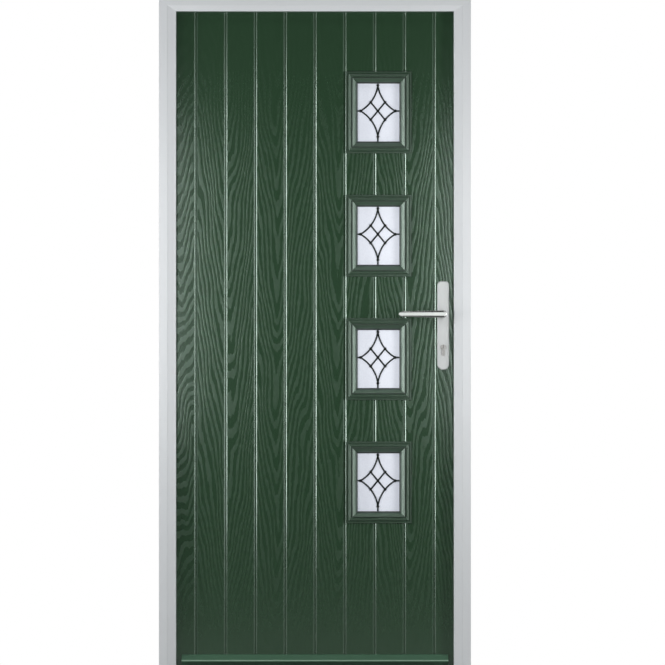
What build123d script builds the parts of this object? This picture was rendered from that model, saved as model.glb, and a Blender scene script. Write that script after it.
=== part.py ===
from build123d import *
from math import hypot, sqrt
import os

# A front door in its frame, seen from outside with -Y towards the viewer, +X to the right and +Z up.
# The origin is the middle of the threshold's underside. All sizes are in millimetres.

# Frame of hollow white plastic profile
FRAME_WIDTH = 920.0
FRAME_HEIGHT = 2000.0
FRAME_DEPTH = 70.0
JAMB_FACE = 50.0
HEAD_FACE = 33.4
BAND_SHARE = 0.5
BAND_STEP = 0.8
FACE_SLOPE = 3.7
NOSE_RADIUS = 2.5
UPSTAND_DEPTH = 23.0
PROFILE_WALL = 2.8
COVER = 12.0
EDGE_GAP = 5.0

# Seal between the frame and the leaf
SEAL_GAP = 3.0
SEAL_INSET = 6.0
SEAL_SLOT_WIDTH = 3.0
SEAL_SLOT_DEPTH = 4.0
SEAL_BULB_WIDTH = 6.0
SEAL_BULB_RADIUS = 1.1
SOFT_CLEARANCE = 0.3
SLOT_CLEARANCE = 0.15

# Steel tube inside the frame members
STEEL_WALL = 1.5
STEEL_CLEARANCE = 0.3
STEEL_END_SETBACK = 60.0
STEEL_FOOT_SETBACK = 20.0

# Holes for the screws that fix the frame into the wall
FIXING_END = 150.0
FIXING_MIDDLE_SPREAD = 600.0
FIXING_DEPTH = 45.0
FIXING_RADIUS = 4.0
FIXING_STEEL_RADIUS = 4.5
FIXING_ACCESS_RADIUS = 7.0

# Aluminium threshold
THRESHOLD_UPSTAND = 25.0
THRESHOLD_WALL = 2.4
THRESHOLD_LIP = 6.0
THRESHOLD_CREST = 6.0

# Leaf with two moulded skins on a timber edge frame and a foam core
LEAF_THICKNESS = 44.0
SKIN = 2.2
GROOVE_PITCH = 88.0
GROOVES_EACH_SIDE = 4
GROOVE_WIDTH = 9.5
GROOVE_BOTTOM = 2.5
GROOVE_DEPTH = 2.8
HINGE_STILE_WIDTH = 75.0
LOCK_STILE_WIDTH = 110.0
TOP_RAIL_HEIGHT = 60.0
BOTTOM_RAIL_HEIGHT = 100.0

# Four glazed openings in a column
WINDOW_FROM_EDGE = 234.0
WINDOW_FROM_TOP = 309.6
WINDOW_PITCH = 364.5
WINDOW_COUNT = 4
SIGHT_WIDTH = 123.5
SIGHT_HEIGHT = 171.5
CASSETTE_BORDER = 35.0
CASSETTE_LAP = 16.0
CASSETTE_CLEARANCE = 1.0
GLASS_EDGE_COVER = 11.0
PANE = 4.0
CAVITY = 16.0
SPACER_WIDTH = 8.0
SPACER_WALL = 0.6
SPACER_INSET = 2.0

# Moulded cassette section: distances in from its outer edge, heights above the skin
RIM_WIDTH = 4.2
RIM_HEIGHT = 3.4
RIM_ROUND = 1.4
QUIRK_WIDTH = 3.4
QUIRK_HEIGHT = 1.6
BEAD_WIDTH = 8.4
BEAD_HEIGHT = 6.6
BEAD_CREST = 3.8
STEP_WIDTH = 3.0
STEP_HEIGHT = 4.0
CREST_HEIGHT = 7.6
BEVEL_WIDTH = 9.0
BEVEL_FALL = 7.0
CASSETTE_LIP = 2.4
CASSETTE_WALL = 2.8

# Lead strips on the outer pane
LEAD_WIDTH = 4.4
LEAD_HEIGHT = 1.2
LEAD_RISE = 4.6
LEAD_SHIFT = -2.0
STAR_HALF_WIDTH = 51.5
STAR_HALF_HEIGHT = 76.0
NODE_X = 21.3
NODE_Z = 25.9
LEAD_CLEARANCE = 0.3

# Screws that pull the two halves of a cassette together
CASSETTE_SCREW_RADIUS = 1.6
CASSETTE_BOSS = 6.2
CASSETTE_SCREW_SPREAD_X = 40.0
CASSETTE_SCREW_SPREAD_Z = 60.0
HOLE_CLEARANCE = 0.1

# Rain deflector at the foot of the leaf
DEFLECTOR_END_GAP = 16.5
DEFLECTOR_TOP = 67.5
DEFLECTOR_DROP = 17.5
DEFLECTOR_LIP = 3.5
DEFLECTOR_LEG = 32.0
DEFLECTOR_REACH = 22.0
DEFLECTOR_WALL = 2.0
DEFLECTOR_SHOULDER = 4.0
DEFLECTOR_SCREW_COUNT = 4
DEFLECTOR_SCREW_END = 63.5

# Lever handles on long plates
BACKSET = 43.0
LEVER_Z = 1073.0
LEVER_TO_CYLINDER = 99.0
PLATE_LENGTH = 262.0
PLATE_WIDTH = 35.0
PLATE_DEPTH = 8.5
PLATE_FROM_LEVER = 34.0
PLATE_WALL = 2.5
PLATE_EDGE_RADIUS = 3.0
PLATE_TOP_RADIUS = 11.0
PLATE_FOOT_RADIUS = 16.5
PLATE_BOLT_SPREAD = 215.0
PLATE_BOSS_RADIUS = 5.2
COLLAR_RADIUS = 13.0
COLLAR_HEIGHT = 3.5
COLLAR_ROUND = 1.2
NECK_RADIUS = 9.5
NECK_CLEARANCE = 0.3
NECK_ENTRY = 6.0
LEVER_PROJECTION = 42.0
LEVER_REACH = 133.0
LEVER_HEEL = 9.5
LEVER_HEIGHT = 23.0
LEVER_TIP_HEIGHT = 17.0
LEVER_TIP_LENGTH = 19.0
LEVER_THICKNESS = 12.0
LEVER_TIP_THICKNESS = 8.0
LEVER_ROUND = 3.0
LEVER_TIP_ROUND = 3.0
LEVER_CHEEK_IN = 5.3
LEVER_CHEEK_RISE = 5.6
SPINDLE_SIDE = 8.0
SPINDLE_CLEARANCE = 0.05
SPINDLE_GRIP = 22.0
SPINDLE_HOLE_RADIUS = 6.4
BOLT_RADIUS = 2.5
BOLT_HEAD_RADIUS = 4.6
BOLT_HEAD = 2.4

# Key cylinder with a thumb turn on the inside
CYLINDER_RADIUS = 8.5
CYLINDER_WEB = 10.0
CYLINDER_DROP = 24.5
CYLINDER_PROUD = 2.0
CYLINDER_CLEARANCE = 0.4
PLUG_RADIUS = 6.5
PLUG_CLEARANCE = 0.1
PLUG_PROUD = 0.4
KEYWAY_WIDTH = 2.0
KEYWAY_HEIGHT = 8.6
KEYWAY_DEPTH = 22.0
CAM_WIDTH = 10.0
CAM_RADIUS = 8.3
CAM_REACH = 15.2
CAM_ARM = 7.0
CAM_SLOT_CLEARANCE = 0.3
TURN_WIDTH = 26.0
TURN_THICKNESS = 11.0
TURN_LENGTH = 18.0
TURN_NECK = 3.0
TURN_ROUND = 3.0
CYLINDER_SCREW_DROP = 20.1

# Lock along the edge of the leaf
FACEPLATE = 3.0
FACEPLATE_WIDTH = 20.0
FACEPLATE_PAST_FOOT = 90.0
FACEPLATE_PAST_TOP = 160.0
LOCK_BAR = 3.0
LOCK_BAR_WIDTH = 16.0
SLIDE_THICKNESS = 3.0
SLIDE_WIDTH = 5.0
SLIDE_GAP = 0.5
ARM_HEIGHT = 7.0
TENON_END = 3.0
RUNNING_GAP = 0.3
CASE_WIDTH = 16.0
CASE_WALL = 1.5
CASE_DEPTH = 55.0
POCKET_CLEARANCE = 0.3
LATCH_ABOVE_LEVER = 25.0
LATCH_HEIGHT = 22.0
BOLT_THICKNESS = 12.0
BOLT_TAIL = 8.0
LATCH_THROW = 11.0
LATCH_LENGTH = 45.0
LATCH_HEAD = 17.0
LATCH_FLAT = 3.0
DEADBOLT_BELOW_LEVER = 45.0
DEADBOLT_HEIGHT = 30.0
DEADBOLT_LENGTH = 40.0
DEADBOLT_HEAD = 21.0
BOLT_FLUSH = 0.5
HOOK_FROM_FOOT = 317.0
HOOK_FROM_TOP = 288.6
HOOK_INSET = 26.0
HOOK_LENGTH = 45.0
HOOK_HALF_WIDTH = 7.0
HOOK_BEAK = 11.0
HOOK_BEAK_WIDTH = 9.0
HOOK_THICKNESS = 6.0
HOOK_PIN_RADIUS = 3.0
HOOK_CASE_WIDTH = 14.0
HOOK_CASE_DEPTH = 32.0
HOOK_CASE_MARGIN = 5.0
LOCK_BAR_TRAVEL = 20.0

# Keeps on the lock jamb
KEEP = 2.0
KEEP_WIDTH = 22.0
KEEP_POCKET_DEPTH = 20.0
KEEP_END = 22.0
KEEP_SCREW_INSET = 8.0
BOLT_ROOM = 1.0

# Hinges on the inside face
HINGE_FROM_FOOT = 227.0
HINGE_FROM_TOP = 218.6
HINGE_STAND_OFF = 12.0
HINGE_BARREL_RADIUS = 8.0
HINGE_PIN_RADIUS = 4.0
HINGE_PIN_CLEARANCE = 0.05
HINGE_HEIGHT = 90.0
HINGE_PLATE_HEIGHT = 62.0
HINGE_FLAG_WIDTH = 62.0
HINGE_PLATE_WIDTH = 22.0
HINGE_SIDE_CLEARANCE = 1.5
HINGE_SCREW_INSET = 9.0
HINGE_METAL = 5.0
HINGE_CORNER = 5.0
HINGE_PIN_HEAD = 4.0
HINGE_CAP_ROUND = 2.5

# Countersunk screws
SCREW_RADIUS = 2.1
SCREW_HEAD_RADIUS = 4.0
SCREW_HEAD = 2.0
SCREW_TIP = 3.0
FRAME_SCREW_LENGTH = 22.0
LEAF_SCREW_LENGTH = 32.0
DEFLECTOR_SCREW_LENGTH = 25.0

# Places that follow from the sizes above
LEFT = -FRAME_WIDTH / 2
FRONT = -FRAME_DEPTH / 2
BACK = FRAME_DEPTH / 2
SKIN_FRONT = FRONT + UPSTAND_DEPTH + SEAL_GAP
SKIN_BACK = SKIN_FRONT + LEAF_THICKNESS
MIDDLE_Y = (SKIN_FRONT + SKIN_BACK) / 2
LEAF_HALF = FRAME_WIDTH / 2 - JAMB_FACE + COVER
LEAF_TOP = FRAME_HEIGHT - HEAD_FACE + COVER
LEAF_BOTTOM = THRESHOLD_UPSTAND - COVER
THRESHOLD_FLOOR = LEAF_BOTTOM - EDGE_GAP
REBATE_X = LEAF_HALF + EDGE_GAP
LOCK_X = LEAF_HALF - BACKSET
PIVOT_X = LEAF_HALF - HOOK_INSET
BAR_BACK_X = LEAF_HALF - FACEPLATE - RUNNING_GAP - LOCK_BAR
CASE_FRONT_X = BAR_BACK_X - RUNNING_GAP
HINGE_X = -LEAF_HALF - EDGE_GAP / 2
HINGE_Y = BACK + HINGE_STAND_OFF
WINDOW_X = LEAF_HALF - WINDOW_FROM_EDGE
WINDOW_HEIGHTS = [LEAF_TOP - WINDOW_FROM_TOP - i * WINDOW_PITCH for i in range(WINDOW_COUNT)]
CYLINDER_Z = LEVER_Z - LEVER_TO_CYLINDER
PLATE_CENTRE_Z = LEVER_Z - PLATE_FROM_LEVER
LATCH_Z = LEVER_Z + LATCH_ABOVE_LEVER
DEADBOLT_Z = LEVER_Z - DEADBOLT_BELOW_LEVER
CYLINDER_SCREW_Z = CYLINDER_Z - CYLINDER_SCREW_DROP
LOWER_BAR_TOP = CYLINDER_SCREW_Z - SCREW_HEAD_RADIUS - BOLT_ROOM - LOCK_BAR_TRAVEL
UPPER_BAR_FOOT = LATCH_Z + LATCH_HEIGHT / 2 + BOLT_ROOM
LOWER_ARM_Z = LOWER_BAR_TOP - TENON_END - ARM_HEIGHT
UPPER_ARM_Z = UPPER_BAR_FOOT + TENON_END
CASE_BOTTOM = LOWER_ARM_Z - SLIDE_GAP - CASE_WALL
CASE_TOP = UPPER_ARM_Z + ARM_HEIGHT + LOCK_BAR_TRAVEL + SLIDE_GAP + CASE_WALL
TAIL_BACK_Y = MIDDLE_Y - BOLT_THICKNESS / 2 + BOLT_TAIL
SLIDE_Y = TAIL_BACK_Y + SLIDE_GAP
HOOK_LOWER_Z = LEAF_BOTTOM + HOOK_FROM_FOOT
HOOK_UPPER_Z = LEAF_TOP - HOOK_FROM_TOP
HOOK_HEIGHTS = {"lower": HOOK_LOWER_Z, "upper": HOOK_UPPER_Z}
FACEPLATE_BOTTOM = HOOK_LOWER_Z - FACEPLATE_PAST_FOOT
FACEPLATE_TOP = HOOK_UPPER_Z + FACEPLATE_PAST_TOP
HINGE_LOWER_Z = LEAF_BOTTOM + HINGE_FROM_FOOT
HINGE_UPPER_Z = LEAF_TOP - HINGE_FROM_TOP
HINGE_MIDDLE_Z = (HINGE_LOWER_Z + HINGE_UPPER_Z) / 2
HINGE_HEIGHTS = {"lower": HINGE_LOWER_Z, "middle": HINGE_MIDDLE_Z, "upper": HINGE_UPPER_Z}
DEFLECTOR_HALF = FRAME_WIDTH / 2 - JAMB_FACE - DEFLECTOR_END_GAP
CASSETTE_HALF_X = SIGHT_WIDTH / 2 + CASSETTE_BORDER
CASSETTE_HALF_Z = SIGHT_HEIGHT / 2 + CASSETTE_BORDER
APERTURE_HALF_X = CASSETTE_HALF_X - CASSETTE_LAP
APERTURE_HALF_Z = CASSETTE_HALF_Z - CASSETTE_LAP
PANE_HALF_X = SIGHT_WIDTH / 2 + GLASS_EDGE_COVER
PANE_HALF_Z = SIGHT_HEIGHT / 2 + GLASS_EDGE_COVER
UNIT_DEPTH = 2 * PANE + CAVITY
GLASS_FRONT = MIDDLE_Y - UNIT_DEPTH / 2
GLASS_RECESS = GLASS_FRONT - SKIN_FRONT
PLATE_FRONT = SKIN_FRONT - PLATE_DEPTH

parts = {}


# Building blocks

def block(x0, x1, y0, y1, z0, z1):
    """A box between two corners."""
    centre = ((x0 + x1) / 2, (y0 + y1) / 2, (z0 + z1) / 2)
    return Pos(*centre) * Box(x1 - x0, y1 - y0, z1 - z0)


def rod(radius, start, direction, length):
    """A round bar that starts at a point and runs along a direction."""
    plane = Plane(origin=start, z_dir=direction)
    return plane * Cylinder(radius, length, align=(Align.CENTER, Align.CENTER, Align.MIN))


def cone(bottom, top, start, direction, length):
    """A tapered round bar."""
    plane = Plane(origin=start, z_dir=direction)
    return plane * Cone(bottom, top, length, align=(Align.CENTER, Align.CENTER, Align.MIN))


def face_of(points):
    """A flat face with straight edges through points in space."""
    return make_face(Polyline(*points, close=True))


def column(points, z0, z1):
    """A plan outline of (x, y) points raised from z0 to z1."""
    return extrude(face_of([(x, y, z0) for x, y in points]), amount=z1 - z0, dir=(0, 0, 1))


def beam(points, x0, x1):
    """A side outline of (y, z) points carried from x0 to x1."""
    return extrude(face_of([(x0, y, z) for y, z in points]), amount=x1 - x0, dir=(1, 0, 0))


def panel(points, y0, y1):
    """A front outline of (x, z) points carried from y0 to y1."""
    return extrude(face_of([(x, y0, z) for x, z in points]), amount=y1 - y0, dir=(0, 1, 0))


def inside_out(shape):
    """The same shape on the other face of the leaf."""
    return mirror(shape, about=Plane(origin=(0, MIDDLE_Y, 0), z_dir=(0, 1, 0)))


def other_side(shape):
    """The same shape at the other jamb."""
    return mirror(shape, about=Plane.YZ)


def sum_of(shapes):
    """One shape from several."""
    total = shapes[0]
    for shape in shapes[1:]:
        total = total + shape
    return total


def group(shapes):
    """Separate solids kept side by side."""
    return Compound(children=[solid for shape in shapes for solid in shape.solids()])


def rectangle(u0, u1, v0, v1):
    """A flat rectangle between two corners."""
    return Pos((u0 + u1) / 2, (v0 + v1) / 2) * Rectangle(u1 - u0, v1 - v0)


def rounded_corners(face, points, radius):
    """A flat face with its corners at the given points rounded."""
    corners = [face.vertices().sort_by_distance(Vector(*p))[0] for p in points]
    return fillet(corners, radius)


def mitred_loop(section, half_x, half_z):
    """A section carried round an upright rectangle: its x points inwards and its y to the back."""
    extent = section.bounding_box()
    reach = extent.max.X
    y0 = extent.min.Y - 1
    y1 = extent.max.Y + 1
    in_x = half_x - reach
    in_z = half_z - reach
    upright = extrude(Pos(-half_x, 0, -half_z) * section, amount=2 * half_z, dir=(0, 0, 1))
    side = upright & panel([(-half_x, -half_z), (-half_x, half_z), (-in_x, in_z), (-in_x, -in_z)], y0, y1)
    lying = Plane(origin=(-half_x, 0, half_z), x_dir=(0, 0, -1), z_dir=(1, 0, 0)) * section
    along = extrude(lying, amount=2 * half_x, dir=(1, 0, 0))
    top = along & panel([(-half_x, half_z), (half_x, half_z), (in_x, in_z), (-in_x, in_z)], y0, y1)
    return side + top + mirror(side, about=Plane.YZ) + mirror(top, about=Plane.XY)


def screw(start, direction, length):
    """A countersunk screw with its head flush at the start point."""
    along = Vector(*direction)
    start = Vector(*start)
    neck = start + along * SCREW_HEAD
    point = start + along * (length - SCREW_TIP)
    head = cone(SCREW_HEAD_RADIUS, SCREW_RADIUS, start, direction, SCREW_HEAD)
    shank = rod(SCREW_RADIUS, neck, direction, length - SCREW_TIP - SCREW_HEAD)
    return head + shank + cone(SCREW_RADIUS, SCREW_RADIUS / 4, point, direction, SCREW_TIP)


def screw_hole(start, direction, length):
    """The countersunk hole for a screw of this length."""
    wide = SCREW_HEAD_RADIUS + HOLE_CLEARANCE
    narrow = SCREW_RADIUS + HOLE_CLEARANCE
    mouth = Vector(*start) - Vector(*direction) * SCREW_HEAD
    entry = rod(wide, mouth, direction, SCREW_HEAD)
    sink = cone(wide, narrow, start, direction, SCREW_HEAD)
    return entry + sink + rod(narrow, start, direction, length + HOLE_CLEARANCE)


# Frame members: u runs from the wall side and v from the outside face

def rebate_of(face_width):
    """How far the part of a member beside the leaf reaches."""
    return face_width - COVER - EDGE_GAP


def member_outline(face_width):
    """Outline of a frame member with its two-tone face and the slot of the seal."""
    band = face_width * BAND_SHARE
    slot_in = face_width - SEAL_INSET - SEAL_SLOT_WIDTH / 2
    slot_out = slot_in + SEAL_SLOT_WIDTH
    slot_floor = UPSTAND_DEPTH - SEAL_SLOT_DEPTH
    rebate = rebate_of(face_width)
    nose = (face_width, BAND_STEP + FACE_SLOPE)
    outline = face_of([
        (0, 0), (band - BAND_STEP, 0), (band, BAND_STEP), nose, (face_width, UPSTAND_DEPTH),
        (slot_out, UPSTAND_DEPTH), (slot_out, slot_floor), (slot_in, slot_floor), (slot_in, UPSTAND_DEPTH),
        (rebate, UPSTAND_DEPTH), (rebate, FRAME_DEPTH), (0, FRAME_DEPTH)])
    return rounded_corners(outline, [nose], NOSE_RADIUS)


def main_chamber(face_width, margin):
    """The chamber of the steel tube, taken in by a margin."""
    return rectangle(
        PROFILE_WALL + margin, rebate_of(face_width) - PROFILE_WALL - margin,
        UPSTAND_DEPTH + margin, FRAME_DEPTH - PROFILE_WALL - margin)


def front_chambers(face_width):
    """The two chambers behind the outside face."""
    web = rebate_of(face_width)
    front = PROFILE_WALL + BAND_STEP + FACE_SLOPE
    back = UPSTAND_DEPTH - PROFILE_WALL
    slot_back = UPSTAND_DEPTH - SEAL_SLOT_DEPTH - PROFILE_WALL
    wall_side = rectangle(PROFILE_WALL, web - PROFILE_WALL / 2, front, back)
    nose_side = rectangle(web + PROFILE_WALL / 2, face_width - PROFILE_WALL, front, slot_back)
    return wall_side + nose_side


def member_section(face_width):
    """The hollow section of a frame member."""
    return member_outline(face_width) - main_chamber(face_width, 0) - front_chambers(face_width)


def tube_section(face_width):
    """The section of the steel tube in a frame member."""
    outside = main_chamber(face_width, STEEL_CLEARANCE)
    return outside - main_chamber(face_width, STEEL_CLEARANCE + STEEL_WALL)


def upright(section, z0, z1):
    """A member's section raised along the left jamb."""
    return extrude(Pos(LEFT, FRONT, z0) * section, amount=z1 - z0, dir=(0, 0, 1))


def crosswise(section, half_length):
    """A member's section carried along the head."""
    plane = Plane(origin=(-half_length, FRONT, FRAME_HEIGHT), x_dir=(0, 0, -1), z_dir=(1, 0, 0))
    return extrude(plane * section, amount=2 * half_length, dir=(1, 0, 0))


def mitre_layer(jamb_reach, head_reach, y0, y1, side):
    """All that lies beyond the mitre line of one layer: side 1 is the head's, side -1 the jamb's."""
    far = 2 * JAMB_FACE
    rise = far * head_reach / jamb_reach
    corner = (LEFT + side * far, FRAME_HEIGHT + side * rise)
    line = [(LEFT - far, FRAME_HEIGHT + rise), (LEFT + far, FRAME_HEIGHT - rise)]
    return panel(line + [corner], y0, y1)


def beyond_mitre(side):
    """The corner's mitre turns where the member narrows behind the upstand."""
    step = FRONT + UPSTAND_DEPTH
    front = mitre_layer(JAMB_FACE, HEAD_FACE, FRONT - 1, step, side)
    back = mitre_layer(rebate_of(JAMB_FACE), rebate_of(HEAD_FACE), step, BACK + 1, side)
    return front + back


def fixing_holes(radius, x0, x1):
    """Round holes along X through one wall of the left jamb."""
    y = FRONT + FIXING_DEPTH
    middle = FRAME_HEIGHT / 2
    ends = middle - FIXING_END
    inner = FIXING_MIDDLE_SPREAD / 2
    heights = [middle - ends, middle - inner, middle + inner, middle + ends]
    return [rod(radius, (x0, y, z), (1, 0, 0), x1 - x0) for z in heights]


def bare_jamb():
    """A jamb at the left, mitred at its top, with the holes for the screws into the wall."""
    jamb = upright(member_section(JAMB_FACE), 0, FRAME_HEIGHT) - beyond_mitre(1)
    outer = fixing_holes(FIXING_RADIUS, LEFT - 1, LEFT + PROFILE_WALL + 1)
    inner = fixing_holes(FIXING_ACCESS_RADIUS, -REBATE_X - PROFILE_WALL - 1, -REBATE_X + 1)
    for hole in outer + inner:
        jamb = jamb - hole
    return jamb


def bare_jamb_tube():
    """The steel tube of the left jamb."""
    tube = upright(tube_section(JAMB_FACE), STEEL_FOOT_SETBACK, FRAME_HEIGHT - STEEL_END_SETBACK)
    for hole in fixing_holes(FIXING_STEEL_RADIUS, LEFT, -REBATE_X):
        tube = tube - hole
    return tube


def head_member():
    """The head, mitred at both ends."""
    half = crosswise(member_section(HEAD_FACE), FRAME_WIDTH / 2)
    wedge = beyond_mitre(-1)
    return half - wedge - other_side(wedge)


def head_tube():
    """The steel tube of the head."""
    return crosswise(tube_section(HEAD_FACE), FRAME_WIDTH / 2 - STEEL_END_SETBACK)


def threshold():
    """Hollow aluminium threshold, notched round the jambs, with a ramp outside and a low tread."""
    crest = FRONT + UPSTAND_DEPTH - THRESHOLD_CREST
    back = FRONT + UPSTAND_DEPTH
    slot_top = THRESHOLD_UPSTAND - SEAL_INSET + SEAL_SLOT_WIDTH / 2
    slot_foot = slot_top - SEAL_SLOT_WIDTH
    outline = [
        (FRONT, 0), (FRONT, THRESHOLD_LIP), (crest, THRESHOLD_UPSTAND), (back, THRESHOLD_UPSTAND),
        (back, slot_top), (back - SEAL_SLOT_DEPTH, slot_top), (back - SEAL_SLOT_DEPTH, slot_foot),
        (back, slot_foot), (back, THRESHOLD_FLOOR), (BACK, THRESHOLD_FLOOR), (BACK, 0)]
    wall = THRESHOLD_WALL
    inner = back - SEAL_SLOT_DEPTH - wall
    roof = slot_foot - wall
    ramp = (crest - FRONT) / (THRESHOLD_UPSTAND - THRESHOLD_LIP)
    roof_start = FRONT + (roof - THRESHOLD_LIP) * ramp + 2 * wall
    hollow = [
        (FRONT + 2 * wall, -1), (FRONT + 2 * wall, THRESHOLD_LIP - wall), (roof_start, roof),
        (inner, roof), (inner, THRESHOLD_FLOOR - wall), (BACK - wall, THRESHOLD_FLOOR - wall),
        (BACK - wall, -1)]
    body = beam(outline, -REBATE_X, REBATE_X) - beam(hollow, -REBATE_X - 1, REBATE_X + 1)
    notch = block(-REBATE_X - 1, LEFT + JAMB_FACE, FRONT - 1, back, -1, THRESHOLD_UPSTAND + 1)
    rib = block(LEFT + JAMB_FACE, -LEFT - JAMB_FACE, -wall / 2, wall / 2, 0, THRESHOLD_FLOOR - wall)
    return body - notch - other_side(notch) + rib


def seal_loop(section):
    """A section carried all round the leaf where the seal lies, centred on its slot."""
    half = section.bounding_box().max.X / 2
    half_x = FRAME_WIDTH / 2 - JAMB_FACE + SEAL_INSET + half
    top = FRAME_HEIGHT - HEAD_FACE + SEAL_INSET + half
    foot = THRESHOLD_UPSTAND - SEAL_INSET - half
    return Pos(0, FRONT + UPSTAND_DEPTH, (top + foot) / 2) * mitred_loop(section, half_x, (top - foot) / 2)


def seal_slot():
    """The slot of the seal, also where two members meet."""
    return seal_loop(rectangle(0, SEAL_SLOT_WIDTH, -SEAL_SLOT_DEPTH, 0))


def frame_seal():
    """Rubber seal pushed into the slot all round, with a bulb that the leaf closes against."""
    middle = SEAL_BULB_WIDTH / 2
    half = SEAL_SLOT_WIDTH / 2 - SLOT_CLEARANCE
    height = SEAL_GAP - SOFT_CLEARANCE
    foot = rectangle(middle - half, middle + half, SLOT_CLEARANCE - SEAL_SLOT_DEPTH, 0)
    bulb = rectangle(0, SEAL_BULB_WIDTH, 0, height)
    tops = [(0, height), (SEAL_BULB_WIDTH, height)]
    return seal_loop(foot + rounded_corners(bulb, tops, SEAL_BULB_RADIUS))


# Keeps screwed to the lock jamb, with a pocket behind each

def hook_sweep(distance):
    """How far below its pivot a hook passes at a distance towards the jamb."""
    reach = hypot(HOOK_LENGTH, HOOK_HALF_WIDTH + HOOK_BEAK)
    return sqrt(reach ** 2 - distance ** 2)


def keep_openings(name, thickness_room):
    """Front outlines (y, z) of the openings in one keep."""
    y0 = MIDDLE_Y - BOLT_THICKNESS / 2 - thickness_room
    y1 = MIDDLE_Y + BOLT_THICKNESS / 2 + thickness_room
    room = BOLT_ROOM
    if name == "centre":
        latch = (y0, y1, LATCH_Z - LATCH_HEIGHT / 2 - room, LATCH_Z + LATCH_HEIGHT / 2 + room)
        dead = (y0, y1, DEADBOLT_Z - DEADBOLT_HEIGHT / 2 - room, DEADBOLT_Z + DEADBOLT_HEIGHT / 2 + room)
        return [latch, dead]
    foot = HOOK_HEIGHTS[name] - hook_sweep(REBATE_X - KEEP - PIVOT_X) - room
    top = HOOK_HEIGHTS[name] + HOOK_HALF_WIDTH + HOOK_BEAK + room
    return [(y0, y1, foot, top)]


def keep(name):
    """A flat striker plate with its openings and two screw holes."""
    openings = keep_openings(name, BOLT_ROOM)
    z0 = min(span[2] for span in openings) - KEEP_END
    z1 = max(span[3] for span in openings) + KEEP_END
    face = REBATE_X - KEEP
    plate = block(face, REBATE_X, MIDDLE_Y - KEEP_WIDTH / 2, MIDDLE_Y + KEEP_WIDTH / 2, z0, z1)
    plate = fillet(plate.edges().filter_by(Axis.X), HINGE_CORNER)
    for y0, y1, zb, zt in openings:
        plate = plate - block(face - 1, REBATE_X + 1, y0, y1, zb, zt)
    heights = [z0 + KEEP_SCREW_INSET, z1 - KEEP_SCREW_INSET]
    return plate, [(face, MIDDLE_Y, z) for z in heights]


def keep_pocket(name):
    """Room behind a keep for the bolt, through the jamb's wall and the steel."""
    cuts = [block(REBATE_X - 1, REBATE_X + KEEP_POCKET_DEPTH, y0, y1, zb, zt)
            for y0, y1, zb, zt in keep_openings(name, 2 * BOLT_ROOM)]
    return sum_of(cuts)


# Leaf

def groove_centres():
    """The middle of each upright groove."""
    return [i * GROOVE_PITCH for i in range(-GROOVES_EACH_SIDE, GROOVES_EACH_SIDE + 1)]


def skin_line(y):
    """Plan line (x, y) of a moulded face with its grooves."""
    points = [(-LEAF_HALF, y)]
    for x in groove_centres():
        points.append((x - GROOVE_WIDTH / 2, y))
        points.append((x - GROOVE_BOTTOM / 2, y + GROOVE_DEPTH))
        points.append((x + GROOVE_BOTTOM / 2, y + GROOVE_DEPTH))
        points.append((x + GROOVE_WIDTH / 2, y))
    return points + [(LEAF_HALF, y)]


def windows_cut(shape):
    """A leaf layer with its four glazed openings."""
    left = WINDOW_X - APERTURE_HALF_X
    right = WINDOW_X + APERTURE_HALF_X
    for z in WINDOW_HEIGHTS:
        shape = shape - block(left, right, SKIN_FRONT - 1, SKIN_BACK + 1, z - APERTURE_HALF_Z,
                              z + APERTURE_HALF_Z)
    return shape


def skin_outside():
    """The outer skin: a moulded sheet of even thickness with pressed grooves."""
    points = skin_line(SKIN_FRONT) + skin_line(SKIN_FRONT + SKIN)[::-1]
    return windows_cut(column(points, LEAF_BOTTOM, LEAF_TOP))


def core_block(x0, x1, z0, z1):
    """What lies between the skins in one stretch of the leaf."""
    front = skin_line(SKIN_FRONT + SKIN)
    back = [(x, 2 * MIDDLE_Y - y) for x, y in front[::-1]]
    return column(front + back, z0, z1) & block(x0, x1, SKIN_FRONT, SKIN_BACK, z0, z1)


def core_parts():
    """Two timber stiles, two timber rails and the foam between them."""
    stile_left = LEAF_HALF - HINGE_STILE_WIDTH
    stile_right = LEAF_HALF - LOCK_STILE_WIDTH
    rail_low = LEAF_BOTTOM + BOTTOM_RAIL_HEIGHT
    rail_high = LEAF_TOP - TOP_RAIL_HEIGHT
    return {
        "stile_hinge_side": core_block(-LEAF_HALF, -stile_left, LEAF_BOTTOM, LEAF_TOP),
        "stile_lock_side": core_block(stile_right, LEAF_HALF, LEAF_BOTTOM, LEAF_TOP),
        "rail_bottom": core_block(-stile_left, stile_right, LEAF_BOTTOM, rail_low),
        "rail_top": core_block(-stile_left, stile_right, rail_high, LEAF_TOP),
        "foam_core": windows_cut(core_block(-stile_left, stile_right, rail_low, rail_high)),
    }


# Glazing

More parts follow.
